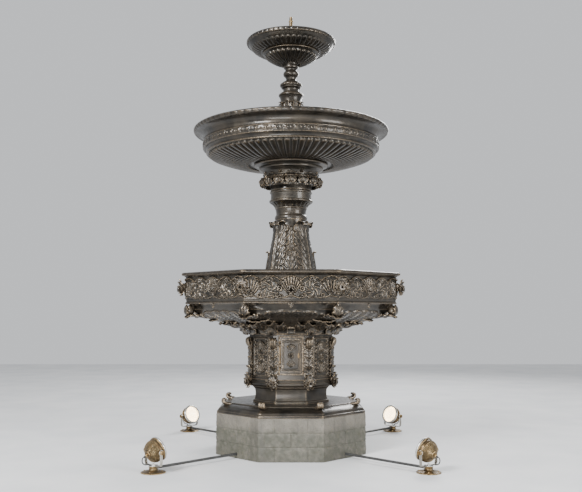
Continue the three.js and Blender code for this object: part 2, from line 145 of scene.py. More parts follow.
def sweep(sections, columns, octagon=False, start=None):
    """Turns an outline about Z, as a round or an octagonal shape.

    The outline's (radius, height) points run out along the bottom, up the outside and down the inside. A
    section is a list of the points that follow the last section's, or (points, relief, step). An outline that
    doesn't close on itself begins at start. relief(across, along, radius, run) is how far the surface stands
    out: across is the angle, or -1 to 1 over a face of the octagon, along is 0 to 1, and run is its length.
    """
    count = columns // SIDES
    if octagon:
        across = np.tile(np.arange(count) * 2 / count - 1, SIDES)[None, :]
        facing = np.repeat(FACES, count)[None, :]
    else:
        across = np.arange(columns)[None, :] * TAU / columns
        facing = across
    radii, heights = [], []
    closed = start is None
    sections = [section if isinstance(section, tuple) else (section, None, None) for section in sections]
    before = start or sections[-1][0][-1]
    for k, (points, relief, gap) in enumerate(sections):
        points = [before, *points]
        before = points[-1]
        line = smooth_line(points, gap or plain_step(points))
        normal = outward(line)
        run = travelled(line)
        stand = np.zeros((len(line), across.shape[1]))
        if relief:
            stand = stand + relief(across, run[:, None] / run[-1], line[:, :1], run[:, None])
        keep = slice(None) if k == len(sections) - 1 and not closed else slice(0, -1)
        scale = FLAT if octagon else 1
        radii.append((line[:, :1] * scale + normal[:, :1] * stand)[keep])
        heights.append((line[:, 1:] + normal[:, 1:] * stand)[keep])
    r, z = np.concatenate(radii), np.concatenate(heights)
    side = across * math.tan(HALF_SIDE) if octagon else 0
    x = r * (np.cos(facing) - side * np.sin(facing))
    y = r * (np.sin(facing) + side * np.cos(facing))
    verts = np.stack([x, y, z], axis=-1).reshape(-1, 3)
    return quads_only(verts, grid_faces(len(r), across.shape[1], closed))


def cored(sections, columns, inside, top, octagon=False):
    """A turned outline from its foot to its top, with a straight hole of radius inside down its middle."""
    return sweep([*sections, [(inside, top)], [(inside, 0)]], columns, octagon)


def end_caps(rings, columns):
    """Triangles that close the first and last rings of a grid on two more points at its end."""
    k = np.arange(columns)
    following = (k + 1) % columns
    last = (rings - 1) * columns
    return np.concatenate([
        np.stack([following, k, np.full(columns, rings * columns)], axis=1),
        np.stack([last + k, last + following, np.full(columns, rings * columns + 1)], axis=1),
    ])


def lathe(points, columns, step):
    """A round shape from straight-sided points that starts and ends on the axis."""
    verts, _, _ = sweep([([point], None, step) for point in points[1:]], columns, start=points[0])
    rings = len(verts) // columns - 2
    verts = np.concatenate([verts[columns:-columns], verts[:1], verts[-1:]])
    return verts, grid_faces(rings, columns, False), end_caps(rings, columns)


def join(*shapes):
    verts, quads, tris, start = [], [], [], 0
    for v, q, t in shapes:
        verts.append(v)
        quads.append(q + start)
        tris.append(t + start)
        start += len(v)
    return np.concatenate(verts), np.concatenate(quads), np.concatenate(tris)


def spin(angle, axis):
    return Matrix.Rotation(angle, 4, axis)


def moved(shape, matrix):
    v, q, t = shape
    m = np.array(matrix)
    return v @ m[:3, :3].T + m[:3, 3], q, t


def turned(shape, angle):
    return moved(shape, spin(angle, "Z"))


def around(shape, count, start=0.0):
    return join(*[turned(shape, start + k * TAU / count) for k in range(count)])


def shifted(shape, x=0.0, y=0.0, z=0.0):
    return moved(shape, Matrix.Translation((x, y, z)))


def outward_at(shape, radius, height, angle=0.0):
    """Turns a shape that faces +Z to face out from the axis, and puts it at a radius, height and angle."""
    face_out = spin(math.pi / 2, "Y") @ spin(math.pi / 2, "Z")
    return moved(shape, spin(angle, "Z") @ Matrix.Translation((radius, 0, height)) @ face_out)


def ball(size, columns=12, rows=8):
    """A closed ellipsoid with half sizes size."""
    polar = np.linspace(0, math.pi, rows + 1)
    v, q, t = lathe([(math.sin(a), -math.cos(a)) for a in polar], columns, 1)
    return v * np.array(size), q, t


def leaf(spine, width, lobes=4, thick=5, lift=0.16, vein=0.08, along=30, across=18, plan=SLIM, wrap=0):
    """A curling acanthus leaf that stands on a round wall and faces +X.

    spine is the (radius, height) line of its midrib from root to tip, and width its greatest half width. It
    bends round the wall at its own radius, or at least the radius wrap.
    """
    line = smooth_line(spine, 1.0)
    run = travelled(line)
    v = np.linspace(0, 1, along + 1)
    line = np.stack([np.interp(v * run[-1], run, line[:, i]) for i in range(2)], axis=1)
    normal = outward(line)
    u = np.linspace(-1, 1, across + 1)[None, :]
    v = v[:, None]
    plan = np.interp(v, [0, 0.12, 0.45, 0.75, 0.92, 1], plan)
    notch = np.abs(np.sin(math.pi * (lobes * v**0.9 + 0.15))) ** 0.5
    half = width * plan * (0.72 + 0.28 * notch)
    ribs = np.cos(TAU * lobes * (v**0.9 - 0.3 * np.abs(u)) + 0.6)
    ribs += 0.3 * np.cos(TAU * 3 * lobes * (v**0.9 - 0.3 * np.abs(u)))
    fold = lift * (1 - u**2) + vein * ribs * np.abs(u) ** 0.7 - 0.1 * np.exp(-((u / 0.09) ** 2))
    stand = fold * width * np.minimum(1, 4 * v) * (0.4 + 0.6 * plan)
    shells = []
    for depth in (0.0, -thick):
        r = line[:, :1] + normal[:, :1] * (stand + depth)
        z = line[:, 1:] + normal[:, 1:] * (stand + depth)
        reach = np.maximum(np.abs(line[:, :1]), max(width, wrap))
        turn = u * half / reach
        x = r + reach * (np.cos(turn) - 1)
        y = reach * np.sin(turn)
        shells.append(np.stack([x, y + 0 * z, z + 0 * y], axis=-1).reshape(-1, 3))
    return shell_of(shells[0], shells[1], along + 1, across + 1)


def ring_of_leaves(spine, width, count, start=0.0, **options):
    return around(leaf(spine, width, **options), count, start)


def flat_leaf(length, width, rise, curl, **options):
    """A leaf that lies along +X on a wall that faces +Z."""
    spine = [(0, 0), (0.4 * length, -rise), (0.8 * length, -0.9 * rise), (length, -curl)]
    return moved(leaf(spine, width, wrap=10000, **options), spin(math.pi, "X"))


def rosette(size, count=7, curl=0.35, lobes=3):
    """Leaves spread round +Z like a flower, with their tips curling forward."""
    petal = flat_leaf(size, size * 0.36, size * 0.22, size * curl, lobes=lobes, thick=size * 0.06, lift=0.3,
                      along=16, across=12)
    return around(petal, count)


def shell_of(front, back, rows, columns):
    """Joins two grids of points into one closed thin shell."""
    i, j = np.meshgrid(np.arange(rows - 1), np.arange(columns - 1), indexing="ij")
    a = (i * columns + j).ravel()
    top = np.stack([a, a + 1, a + columns + 1, a + columns], axis=1)
    count = rows * columns
    edge = np.concatenate([
        np.arange(columns),
        np.arange(1, rows) * columns + columns - 1,
        (rows - 1) * columns + np.arange(columns - 2, -1, -1),
        np.arange(rows - 2, 0, -1) * columns,
    ])
    following = np.roll(edge, -1)
    rim = np.stack([following, edge, edge + count, following + count], axis=1)
    return quads_only(np.concatenate([front, back]), np.concatenate([top, top[:, ::-1] + count, rim]))


def pipe(path, radius, columns, step):
    """A round cord along a smooth 3D line, closed at both ends."""
    line = smooth_line(path, step)
    ahead = unit(np.gradient(line, axis=0))
    side = unit(np.cross(ahead, (0.13, 0.31, 0.94)))
    up = np.cross(ahead, side)
    angle = np.arange(columns) * TAU / columns
    thickness = np.full(len(line), float(radius)) if np.isscalar(radius) else np.interp(
        np.linspace(0, 1, len(line)), np.linspace(0, 1, len(radius)), radius
    )
    ring = np.cos(angle)[None, :, None] * side[:, None] + np.sin(angle)[None, :, None] * up[:, None]
    verts = (line[:, None] + ring * thickness[:, None, None]).reshape(-1, 3)
    verts = np.concatenate([verts, [line[0], line[-1]]])
    return verts, grid_faces(len(line), columns, False), end_caps(len(line), columns)


def slab(x, y, z, bevel):
    """A box of the given sizes with every edge chamfered."""
    ring = []
    for sx, sy in ((1, -1), (1, 1), (-1, 1), (-1, -1)):
        a = (sx * x / 2, sy * (y / 2 - bevel))
        b = (sx * (x / 2 - bevel), sy * y / 2)
        ring += [a, b] if sx * sy > 0 else [b, a]
    ring = np.array(ring)
    inner = ring - np.sign(ring) * bevel
    levels = [(inner, -z / 2), (ring, -z / 2 + bevel), (ring, z / 2 - bevel), (inner, z / 2)]
    verts = [np.c_[line, np.full(8, level)] for line, level in levels]
    verts = np.concatenate([*verts, [[0, 0, -z / 2], [0, 0, z / 2]]])
    return verts, grid_faces(4, 8, False), end_caps(4, 8)


# ---------- turning shapes into pieces ----------
def piece(name, shape, body, material, replaced=()):
    """Makes the mesh, rides it on its body, if it has just one, and hides the CAD nodes it stands for."""
    verts, quads, tris = shape
    mesh = bpy.data.meshes.new(name)
    mesh.vertices.add(len(verts))
    mesh.vertices.foreach_set("co", (verts * MM).astype(np.float32).ravel())
    corners = np.concatenate([quads.ravel(), tris.ravel()])
    sizes = np.r_[np.full(len(quads), 4), np.full(len(tris), 3)]
    mesh.loops.add(len(corners))
    mesh.loops.foreach_set("vertex_index", corners.astype(np.int32))
    mesh.polygons.add(len(sizes))
    mesh.polygons.foreach_set("loop_start", np.r_[0, sizes.cumsum()[:-1]].astype(np.int32))
    mesh.polygons.foreach_set("loop_total", sizes.astype(np.int32))
    mesh.update(calc_edges=True)
    mesh.validate()
    mesh.shade_smooth()
    mesh.set_sharp_from_angle(angle=math.radians(40))
    mesh.materials.append(material)
    made = bpy.data.objects.new(name, mesh)
    bpy.context.scene.collection.objects.link(made)
    if body:
        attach(made, body)
    if replaced:
        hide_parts(*replaced)
    return made


def cast(name, node, *shapes):
    """A cast-iron piece that stands for a CAD node. Its heights are measured from the bottom of the node."""
    return piece(name, shifted(join(*shapes), z=low(node)), "fountain", IRON, [node])


# ---------- materials ----------
class Look:
    """A procedural material, built up node by node. Places are in metres on the object."""

    def __init__(self, name):
        self.material = bpy.data.materials.new(name)
        self.material.use_nodes = True
        self.nodes = self.material.node_tree.nodes
        self.shader = self.nodes["Principled BSDF"]
        self.place = self.nodes.new("ShaderNodeTexCoord").outputs["Object"]

    def link(self, source, target):
        self.material.node_tree.links.new(source, target)

    def feed(self, socket, value):
        if isinstance(value, bpy.types.NodeSocket):
            self.link(value, socket)
        else:
            socket.default_value = (*value, 1) if isinstance(value, tuple) and len(value) == 3 else value

    def noise(self, scale, detail=4.0, stretch=(1, 1, 1), distortion=0.0):
        mapping = self.nodes.new("ShaderNodeMapping")
        self.link(self.place, mapping.inputs["Vector"])
        mapping.inputs["Scale"].default_value = stretch
        made = self.nodes.new("ShaderNodeTexNoise")
        self.link(mapping.outputs["Vector"], made.inputs["Vector"])
        made.inputs["Scale"].default_value = scale
        made.inputs["Detail"].default_value = detail
        made.inputs["Distortion"].default_value = distortion
        return made.outputs["Fac"]

    def patches(self, scale, detail, *limits):
        return self.span(self.noise(scale, detail), *limits)

    def span(self, value, low_in, high_in, low_out=0.0, high_out=1.0):
        made = self.nodes.new("ShaderNodeMapRange")
        for socket, number in zip(made.inputs[1:5], (low_in, high_in, low_out, high_out)):
            socket.default_value = number
        self.link(value, made.inputs[0])
        return made.outputs[0]

    def math(self, operation, a, b=0.0):
        made = self.nodes.new("ShaderNodeMath")
        made.operation = operation
        self.feed(made.inputs[0], a)
        self.feed(made.inputs[1], b)
        return made.outputs[0]

    def mix(self, share, a, b):
        made = self.nodes.new("ShaderNodeMix")
        made.data_type = "RGBA"
        self.feed(made.inputs[0], share)
        self.feed(made.inputs[6], a)
        self.feed(made.inputs[7], b)
        return made.outputs[2]

    def bump(self, height, distance, strength=0.5, below=None):
        made = self.nodes.new("ShaderNodeBump")
        made.inputs["Strength"].default_value = strength
        made.inputs["Distance"].default_value = distance
        self.link(height, made.inputs["Height"])
        if below is not None:
            self.link(below, made.inputs["Normal"])
        return made.outputs["Normal"]

    def pointiness(self):
        return self.nodes.new("ShaderNodeNewGeometry").outputs["Pointiness"]

    def height(self):
        split = self.nodes.new("ShaderNodeSeparateXYZ")
        self.link(self.place, split.inputs[0])
        return split.outputs["Z"]

    def done(self, **sockets):
        for name, value in sockets.items():
            self.feed(self.shader.inputs[name.replace("_", " ")], value)
        return self.material


def metal(name, dark, light, edge, film, rough, metallic, coat, grain=0.5, hollow_film_and_highlights=True):
    """Cast or machined metal: two tones, painted bright highlights on the convex edges, a film in the hollows
    and water streaks.

    The hollow film and the painted edge highlights read the shape from the mesh, so they suit only the finely
    divided pieces.
    """
    look = Look(name)
    tone = look.mix(look.patches(6, 6, 0.35, 0.68), dark, light)
    tone = look.mix(look.patches(38, 5, 0.55, 0.75, 0, 0.5), tone, light)
    stain = look.math("MULTIPLY", look.span(look.noise(14, 5, (1, 1, 0.09), 0.4), 0.5, 0.72), 0.3)
    if hollow_film_and_highlights:
        hollow = look.span(look.pointiness(), 0.5, 0.44, 0, 0.55)
        stain = look.math("MAXIMUM", hollow, stain)
    tone = look.mix(stain, tone, film)
    if hollow_film_and_highlights:
        # painted highlight: a bright tint on the convex edges, where light catches the relief, broken up in
        # patches
        highlight_patches = look.patches(55, 4, 0.3, 0.6)
        tone = look.mix(look.math("MULTIPLY", look.span(look.pointiness(), 0.51, 0.56), highlight_patches), tone, edge)
    roughness = look.math("ADD", look.patches(24, 5, 0.3, 0.7, *rough), look.math("MULTIPLY", stain, 0.3))
    surface = look.bump(look.noise(420, 3), 0.0006, grain)
    surface = look.bump(look.noise(60, 4), 0.0016, grain * 0.8, surface)
    return look.done(
        Base_Color=tone, Metallic=metallic, Roughness=roughness, Normal=surface, Coat_Weight=coat,
        Coat_Roughness=0.12,
    )


def stone(name):
    """Dressed stone, darker and a little greener towards the bottom, where it stands in water."""
    look = Look(name)
    tone = look.mix(look.patches(5, 6, 0.3, 0.7), (0.085, 0.078, 0.064), (0.15, 0.136, 0.11))
    tone = look.mix(look.patches(90, 4, 0.5, 0.7, 0, 0.6), tone, (0.06, 0.055, 0.045))
    wobble = look.math("ADD", look.height(), look.patches(9, 5, 0.3, 0.7, -0.03, 0.03))
    algae = look.math("MULTIPLY", look.span(wobble, 0.34, 0.26, 0, 0.8), look.patches(22, 5, 0.15, 0.6))
    tone = look.mix(algae, tone, (0.04, 0.042, 0.028))
    drips = look.span(look.noise(16, 5, (1, 1, 0.07), 0.3), 0.52, 0.7, 0, 0.55)
    tone = look.mix(drips, tone, (0.05, 0.046, 0.038))
    surface = look.bump(look.noise(300, 5), 0.001, 0.7)
    surface = look.bump(look.noise(34, 6), 0.006, 0.6, surface)
    return look.done(Base_Color=tone, Roughness=look.patches(30, 4, 0.3, 0.7, 0.45, 0.8), Normal=surface)


def moulded(name, color, rough):
    """Moulded plastic or rubber, with a fine texture and a little dust."""
    look = Look(name)
    tone = look.mix(look.patches(18, 5, 0.45, 0.7, 0, 0.5), color, tuple(c * 2 + 0.02 for c in color))
    surface = look.bump(look.noise(900, 2), 0.0003, 0.5)
    roughness = look.patches(60, 3, 0.3, 0.7, rough, rough + 0.2)
    return look.done(Base_Color=tone, Roughness=roughness, Normal=surface)


def lit_glass(name):
    """The lens: thick clear glass with a warm lamp glowing through it, and a thin film of scale."""
    look = Look(name)
    scale = look.patches(45, 5, 0.5, 0.75)
    glow = look.mix(look.patches(12, 3, 0.3, 0.7), (1.0, 0.68, 0.34), (1.0, 0.84, 0.58))
    surface = look.bump(look.noise(120, 3), 0.0006, 0.3)
    return look.done(
        Base_Color=look.mix(scale, (0.95, 0.93, 0.88), (0.7, 0.66, 0.55)),
        Roughness=look.math("ADD", look.math("MULTIPLY", scale, 0.3), 0.06),
        Transmission_Weight=0.75, IOR=1.47, Emission_Color=glow, Emission_Strength=1.6, Normal=surface,
    )


def lamp_glow(name):
    """The silvered reflector, lit by its own lamp: brightest in the middle of its bowl."""
    look = Look(name)
    glow = look.mix(look.patches(20, 3, 0.3, 0.7), (1.0, 0.72, 0.4), (1.0, 0.86, 0.62))
    surface = look.bump(look.noise(160, 2), 0.001, 0.4)
    return look.done(
        Base_Color=(0.9, 0.87, 0.8), Metallic=0.9, Roughness=look.patches(50, 3, 0.3, 0.7, 0.1, 0.25),
        Emission_Color=glow, Emission_Strength=3.5, Normal=surface,
    )


# Dark and light tones, the colour of the painted edge highlight, the hollow film, the roughness range,
# metallic and coat; steel also gives its grain.
IRON_LOOK = (
    (0.013, 0.0115, 0.0095), (0.046, 0.037, 0.027), (0.21, 0.16, 0.105), (0.07, 0.064, 0.05), (0.3, 0.48),
    0.75, 0.3,
)
BRONZE_LOOK = (
    (0.07, 0.045, 0.022), (0.17, 0.11, 0.05), (0.46, 0.33, 0.17), (0.07, 0.1, 0.075), (0.3, 0.5), 0.9, 0.1,
)
STEEL_LOOK = (
    (0.33, 0.33, 0.32), (0.5, 0.5, 0.48), (0.75, 0.74, 0.7), (0.24, 0.21, 0.16), (0.25, 0.45), 0.95, 0.0, 0.3,
)
IRON = metal("wet_cast_iron", *IRON_LOOK)
PLAIN_IRON = metal("plain_cast_iron", *IRON_LOOK, hollow_film_and_highlights=False)
BRONZE = metal("dull_bronze", *BRONZE_LOOK)
PLAIN_BRONZE = metal("plain_bronze", *BRONZE_LOOK, hollow_film_and_highlights=False)
STEEL = metal("stainless_steel", *STEEL_LOOK)
PLAIN_STEEL = metal("plain_steel", *STEEL_LOOK, hollow_film_and_highlights=False)
STONE = stone("wet_stone")
PLASTIC = moulded("black_plastic", (0.02, 0.02, 0.019), 0.45)
RUBBER = moulded("cable_rubber", (0.012, 0.012, 0.012), 0.6)
LENS = lit_glass("lit_lens_glass")
LAMP = lamp_glow("lit_reflector")


# ---------- raised ornament: how far a surface stands out ----------
def beat(across, count):
    """Where an angle is in one of count equal parts of a turn: -0.5 to 0.5."""
    return (across * count / TAU) % 1 - 0.5


def dome(distance, size):
    """A rounded lump: 1 at its middle and 0 from size outwards."""
    return np.sqrt(clamp(1 - (distance / size) ** 2))


def from_midrib(across, count):
    """How far a place is from the middle of its leaf, 0 to 1, with count leaves to an octagon's face."""
    u = (across + 1) * count / 2
    return np.abs(u - np.floor(u) - 0.5) * 2


def curl(x, y, size):
    """A small scroll: a ring round a button, as a height from 0 to 1."""
    far = np.hypot(x, y)
    return np.maximum(dome(far - size, 0.42 * size), dome(far, 0.45 * size))


def palmette(x, y, size, petals, spread):
    """A fan of petals rising from (0, 0), as a height from 0 to 1."""
    far = np.hypot(x, y)
    angle = np.arctan2(x, y)
    step = 2 * spread / petals
    nearest = np.clip(np.round(angle / step), -(petals // 2), petals // 2) * step
    reach = size * (1 - 0.28 * (nearest / spread) ** 2)
    along = far * np.cos(angle - nearest)
    aside = far * np.sin(angle - nearest)
    width = 0.46 * step * np.clip(along, 0, reach)
    width = np.minimum(width, 0.6 * np.sqrt(np.clip(reach**2 - along**2, 0, None)))
    return dome(aside, width + 0.1) * clamp(along / (0.2 * size))


def roundel(x, y, size, arms, twist):
    """A swirl of leaves in a ring with a boss in the middle, as a height from 0 to 1."""
    far = np.hypot(x, y) + 0.1
    swirl = 0.5 + 0.5 * np.cos(arms * np.arctan2(y, x) + twist * np.log(far / size))
    inside = clamp((size - far) / (0.1 * size))
    leaves = swirl**0.8 * inside * clamp(far / (0.22 * size) - 0.9)
    ring = dome(far - 1.03 * size, 0.08 * size) * 0.8
    return np.maximum(np.maximum(leaves, ring), dome(far, 0.2 * size))


def groove(distance, half_width, depth):
    return -depth * clamp(1 - np.abs(distance) / half_width) ** 0.7


def scallops(count, height):
    """Round lobes side by side along a rim."""
    def relief(across, along, size, run):
        return height * dome(beat(across, count), 0.5) * np.sin(math.pi * along) ** 0.6
    return relief


def gadroons(count, height, stop):
    """Rounded ribs that fan out under a bowl and end in round tips."""
    def relief(across, along, size, run):
        u = beat(across, count)
        pitch = TAU * size / count
        past = np.clip(run - stop, 0, None)
        before = np.clip(18 - run, 0, None)
        far = np.hypot(np.hypot(u * pitch, past), before) / (0.49 * pitch)
        return height * clamp(1 - far**2.6) ** 0.5
    return relief


# ---------- plinth, base and pedestal ----------
def ashlar(across, along, size, run):
    """Three courses of dressed stones, whose upright joints break from course to course."""
    x = across * size * HALF_WIDTH
    course = np.minimum((along * 3).astype(int), 2)
    level = groove(np.minimum(np.abs(along - 1 / 3), np.abs(along - 2 / 3)) * 420, 7, 6)
    wide = groove(np.abs(x) - 165, 6, 6)
    narrow = groove(np.minimum(np.abs(x), np.abs(np.abs(x) - 270)), 6, 6)
    upright = np.where(course == 1, narrow, wide)
    rock = 1.6 * np.sin(x / 23 + course * 2) * np.sin(run / 17 + x / 61) + 1.1 * np.sin(x / 9.7 + run / 13)
    return np.minimum(np.minimum(level, upright), 0) + rock * (level + upright > -0.5)


def stone_plinth():
    top, corner = high("stone_plinth"), radius("stone_plinth") / FLAT
    shape = cored([
        [(corner, 0)],
        ([(corner, top - 8)], ashlar, 7),
        [(corner - 8, top)],
    ], SIDES * 90, PLINTH_HOLLOW, top, octagon=True)
    piece("stone_plinth_blocks", shape, "fountain", STONE, ["stone_plinth"])


def scrolls(line, sizes, gap):
    """Three scrolls side by side at each corner, which curl back on themselves."""
    three = [pipe([(r, aside, h) for r, h in line], sizes, 14, 5) for aside in (-gap, 0, gap)]
    return around(join(*three), SIDES, HALF_SIDE)


def iron_base():
    plate = cored([
        [(844, 0)], [(846, 12), (844, 24)], [(836, 28)], [(828, 44), (800, 64), (752, 82), (706, 90)],
        [(704, 96), (694, 100)],
    ], SIDES * 24, BASE_HOLLOW, 100, octagon=True)
    ears = scrolls(
        [(672, 80), (712, 88), (748, 96), (772, 112), (772, 132), (756, 140), (744, 130)],
        (13, 18, 20, 19, 17, 14, 8), 20,
    )
    cast("iron_base_plate", "iron_base", plate, ears)


def spout_mouth(bore, rim, length):
    """A short flared tube along +Z, open at its mouth."""
    return lathe([
        (0, 0), (bore * 1.5, 0), (bore * 1.35, length * 0.45), (rim * 0.85, length * 0.9),
        (rim, length * 0.97), (rim * 0.95, length), (bore, length * 0.98), (bore * 0.8, length * 0.5),
        (0, length * 0.5),
    ], 20, 3)


def leaf_head(size, bore):
    """A plain spout dressed with leaves, facing +Z: a mouth low down, leaves round it and a crest above."""
    def blade(reach, width, rise, tip, turn, **options):
        return turned(
            flat_leaf(size * reach, size * width, size * rise, size * tip, thick=size * 0.08, **options), turn
        )

    crest = [
        blade(reach, 0.42, 0.62, 0.8, turn + math.pi / 2, along=24)
        for reach, turn in ((1.35, 0), (1.2, 0.55), (1.2, -0.55), (1.0, 1.15), (1.0, -1.15))
    ]
    chin = blade(0.85, 0.4, 0.45, 0.3, -math.pi / 2, lobes=3)
    brow = shifted(ball((size * 0.5, size * 0.46, size * 0.62), 24, 16), y=size * 0.4, z=size * 0.12)
    return join(
        spout_mouth(bore, bore * 2.2, size * 0.95), shifted(rosette(size * 0.85, 7, 0.6, 4), z=size * 0.1),
        shifted(rosette(size * 0.55, 7, 0.8), z=size * 0.36), brow, chin, *crest,
    )


def pedestal_foot():
    shape = cored([
        [(440, 0)], [(440, 12)], [(436, 22), (422, 28)], [(416, 60), (415, 110), (420, 140)],
        [(430, 146), (434, 156)], [(446, 158), (448, 170)],
    ], SIDES * 24, BASE_HOLLOW, 170, octagon=True)
    cast("pedestal_foot_casting", "pedestal_foot", shape)


def pedestal_spout_collar():
    ring = cored([
        [(474, 0)], [(490, 10), (496, 28), (492, 46)], [(484, 50)], [(482, 66), (488, 72), (486, 80)],
    ], SIDES * 30, PEDESTAL_HOLLOW, 80, octagon=True)
    spouts = [outward_at(leaf_head(74, 12), 470, 40, angle) for angle in CORNERS]
    cast("pedestal_spout_leaves", "pedestal_spout_collar", ring, *spouts)


def bar_frame(width, height, bar, depth):
    """A rectangular frame of four bars, facing +Z."""
    upright, level = slab(bar, height, depth, 3), slab(width - 2 * bar, bar, depth, 3)
    x, y, z = (width - bar) / 2, (height - bar) / 2, depth / 2
    sides = shifted(upright, -x, 0, z), shifted(upright, x, 0, z)
    return join(*sides, shifted(level, 0, -y, z), shifted(level, 0, y, z))


def relief_panel(width, height, relief, thick=3.0, step=2.6):
    """A thin plate facing +Z whose face is raised by relief(x, y), with its edges left flat."""
    rows, columns = round(height / step) + 1, round(width / step) + 1
    levels, places = np.linspace(-height / 2, height / 2, rows), np.linspace(-width / 2, width / 2, columns)
    y, x = np.meshgrid(levels, places, indexing="ij")
    edge = np.minimum(width / 2 - np.abs(x), height / 2 - np.abs(y))
    front = np.stack([x, y, thick + relief(x, y) * clamp(edge / 4)], axis=-1).reshape(-1, 3)
    back = np.stack([x, y, 0 * x - 1], axis=-1).reshape(-1, 3)
    return shell_of(front, back, rows, columns)


def pedestal_panel(x, y):
    """Raised ornament of one pedestal wall: a frame, a palmette at each end, scrolls and a rosette."""
    aside, level = np.abs(x), np.abs(y)
    frame_edge = np.minimum(112 - aside, 200 - level)
    frame_bar = 7 * dome(frame_edge - 5, 6) + 3 * (frame_edge < 0)
    fan = 12 * palmette(x, 176 - level, 100, 7, 1.1)
    flower = 12 * roundel(x, y, 38, 8, 2)
    stem = 8 * dome(aside - 38 - 26 * np.sin((level - 20) / 32), 7) * (level > 20) * (level < 120)
    curls = [10 * curl(aside - a, level - b, size) for a, b, size in (
        (66, 62, 20), (88, 20, 11), (24, 74, 12), (88, 108, 13), (56, 112, 10), (88, 150, 12), (88, 184, 10),
    )]
    return np.maximum.reduce([frame_bar, fan, flower, stem, *curls])


def pedestal_relief():
    """The raised ornament on the pedestal's walls, with a garland up each corner under small scrolls."""
    foot = low("pedestal_body")
    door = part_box("access_door")
    face = radius("pedestal_body")
    middle = (door[0].z + door[1].z) / 2 / MM - foot
    parts = [outward_at(bar_frame(262, 404, 16, 9), face, middle, FACES[0])]
    for angle in FACES[1:]:
        parts.append(outward_at(relief_panel(250, 424, pedestal_panel, 3, 3.4), face, middle - 20, angle))
    corner = face / FLAT
    for level, tip in enumerate((34, 18, 18, 26)):
        start = 6 + level * 96
        parts.append(ring_of_leaves(
            [(corner - 14, start), (corner - 2, start + 40), (corner, start + 92),
             (corner + tip - 8, start + 122), (corner + tip, start + 112)],
            62, SIDES, HALF_SIDE, thick=6, lift=0.12, along=26,
        ))
    parts.append(scrolls(
        [(466, 316), (490, 346), (508, 384), (508, 414), (492, 426), (481, 411), (491, 401)],
        (8, 12, 15, 15, 12, 9, 6), 24,
    ))
    piece("pedestal_relief", shifted(join(*parts), z=foot), "fountain", IRON)


def bell_ribs(across, along, size, run):
    """Veined acanthus that clothes the bell, four leaves to a face, standing out more towards the top."""
    u = from_midrib(across, 4)
    veins = 0.5 + 0.5 * np.cos(TAU * (9 * along + 2 * u))
    body = clamp(1 - u**2) ** 0.5
    return clamp(along * 3) * (8 * body + 3.5 * veins * clamp(u * 5) + 4 * dome(u, 0.14))


FAN_TIP = math.radians(32)  # how far the fans at the capital's corners lean out


def pedestal_capital():
    core = cored([
        [(490, 0)], [(500, 8), (490, 20)],
        ([(492, 40), (512, 68), (560, 92), (640, 112), (725, 134), (810, 156), (878, 170)], bell_ribs, 5),
    ], SIDES * 70, PEDESTAL_HOLLOW, 170, octagon=True)
    corner_leaf = ring_of_leaves(
        [(486, 2), (504, 52), (560, 84), (680, 118), (800, 148), (890, 164), (930, 146)], 150, SIDES,
        HALF_SIDE, lobes=6, thick=9, lift=0.1, along=56, across=30, plan=BROAD, vein=0.05,
    )
    petals = [
        ring_of_leaves(
            [(492, 14), (508, 54), (562, 82), (660, 104), (750 - short, 124), (806 - short, 130),
             (830 - short, 112)],
            56, SIDES, HALF_SIDE + turn, thick=8, lift=0.42, vein=0.12, along=40, across=16, plan=BROAD,
        )
        for turn, short in ((0.11, 20), (-0.11, 20), (0.23, 70), (-0.23, 70))
    ]
    fan = join(*[
        turned(flat_leaf(reach, 32, 22, 34, lobes=3, thick=7, along=22, across=12), math.pi / 2 + turn)
        for reach, turn in ((128, 0), (120, 0.44), (120, -0.44), (104, 0.88), (104, -0.88))
    ])
    fan = moved(fan, spin(FAN_TIP, "X"))
    fans = [outward_at(fan, 512, 8, angle) for angle in CORNERS]
    cartouche = join(slab(150, 28, 16, 3), slab(120, 12, 20, 3))
    cartouches = [outward_at(cartouche, 508, 84, angle) for angle in FACES]
    cast("pedestal_capital_leaves", "pedestal_capital", core, corner_leaf, *petals, *fans, *cartouches)


# ---------- access door ----------
def access_door():
    lo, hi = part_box("access_door")
    width, height = 210, (hi.z - lo.z) / MM
    middle = (hi.z + lo.z) / 2 / MM
    front = -radius("pedestal_body") - 2
    latch_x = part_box("door_latch")[0].x / MM + 7
    hinge_x, hinge_y = lo.x / MM + 9, lo.y / MM + 9
    ring = lathe([(0, 0), (13, 0), (13, 2.6), (9.5, 4), (0, 4)], 24, 2)

    def ornament(x, y):
        aside, level = np.abs(x), np.abs(y)
        frame_edge = np.minimum(width / 2 - 14 - aside, height / 2 - 16 - level)
        bars = 4 * dome(frame_edge, 5) + 3 * dome(frame_edge - 14, 3)
        inner = 5 * roundel(x, y, 30, 8, 3) + 6 * palmette(x, 126 - level, 74, 7, 1.0)
        return np.maximum(bars, inner * (frame_edge > 18))

    def ribs(x, y):
        return np.maximum(4 * dome(np.abs(x) - 62, 5), 4 * dome(np.abs(y) - 70, 5))

    front_plate = relief_panel(width - 4, height - 4, ornament, 1.0, 2.2)
    back = moved(relief_panel(width, height, ribs, 11.0, 4), spin(math.pi, "Y"))
    panel = join(shifted(back, z=-1), front_plate, shifted(ring, x=latch_x, z=1))
    face_front = spin(math.pi / 2, "X")
    panel = shifted(moved(panel, face_front), 0, front, middle)
    straps = []
    barrel = sweep([[(8, -15)], [(9, -14), (9, 14), (8, 15)], [(5.5, 15)], [(5.5, -15)]], 24)
    for level in (lo.z / MM + 60, hi.z / MM - 60):
        straps.append(shifted(slab(36, 9, 30, 1.2), hinge_x + 18, front - 2.5, level))
        straps.append(shifted(barrel, hinge_x, hinge_y, level))
        for x in (16, 28):
            head = moved(lathe([(0, 0), (4.2, 0), (3.4, 2.2), (0, 3)], 14, 1), face_front)
            straps.append(shifted(head, hinge_x + x, front - 7, level))
    piece("access_door_panel", join(panel, *straps), "access_door", IRON, ["access_door"])


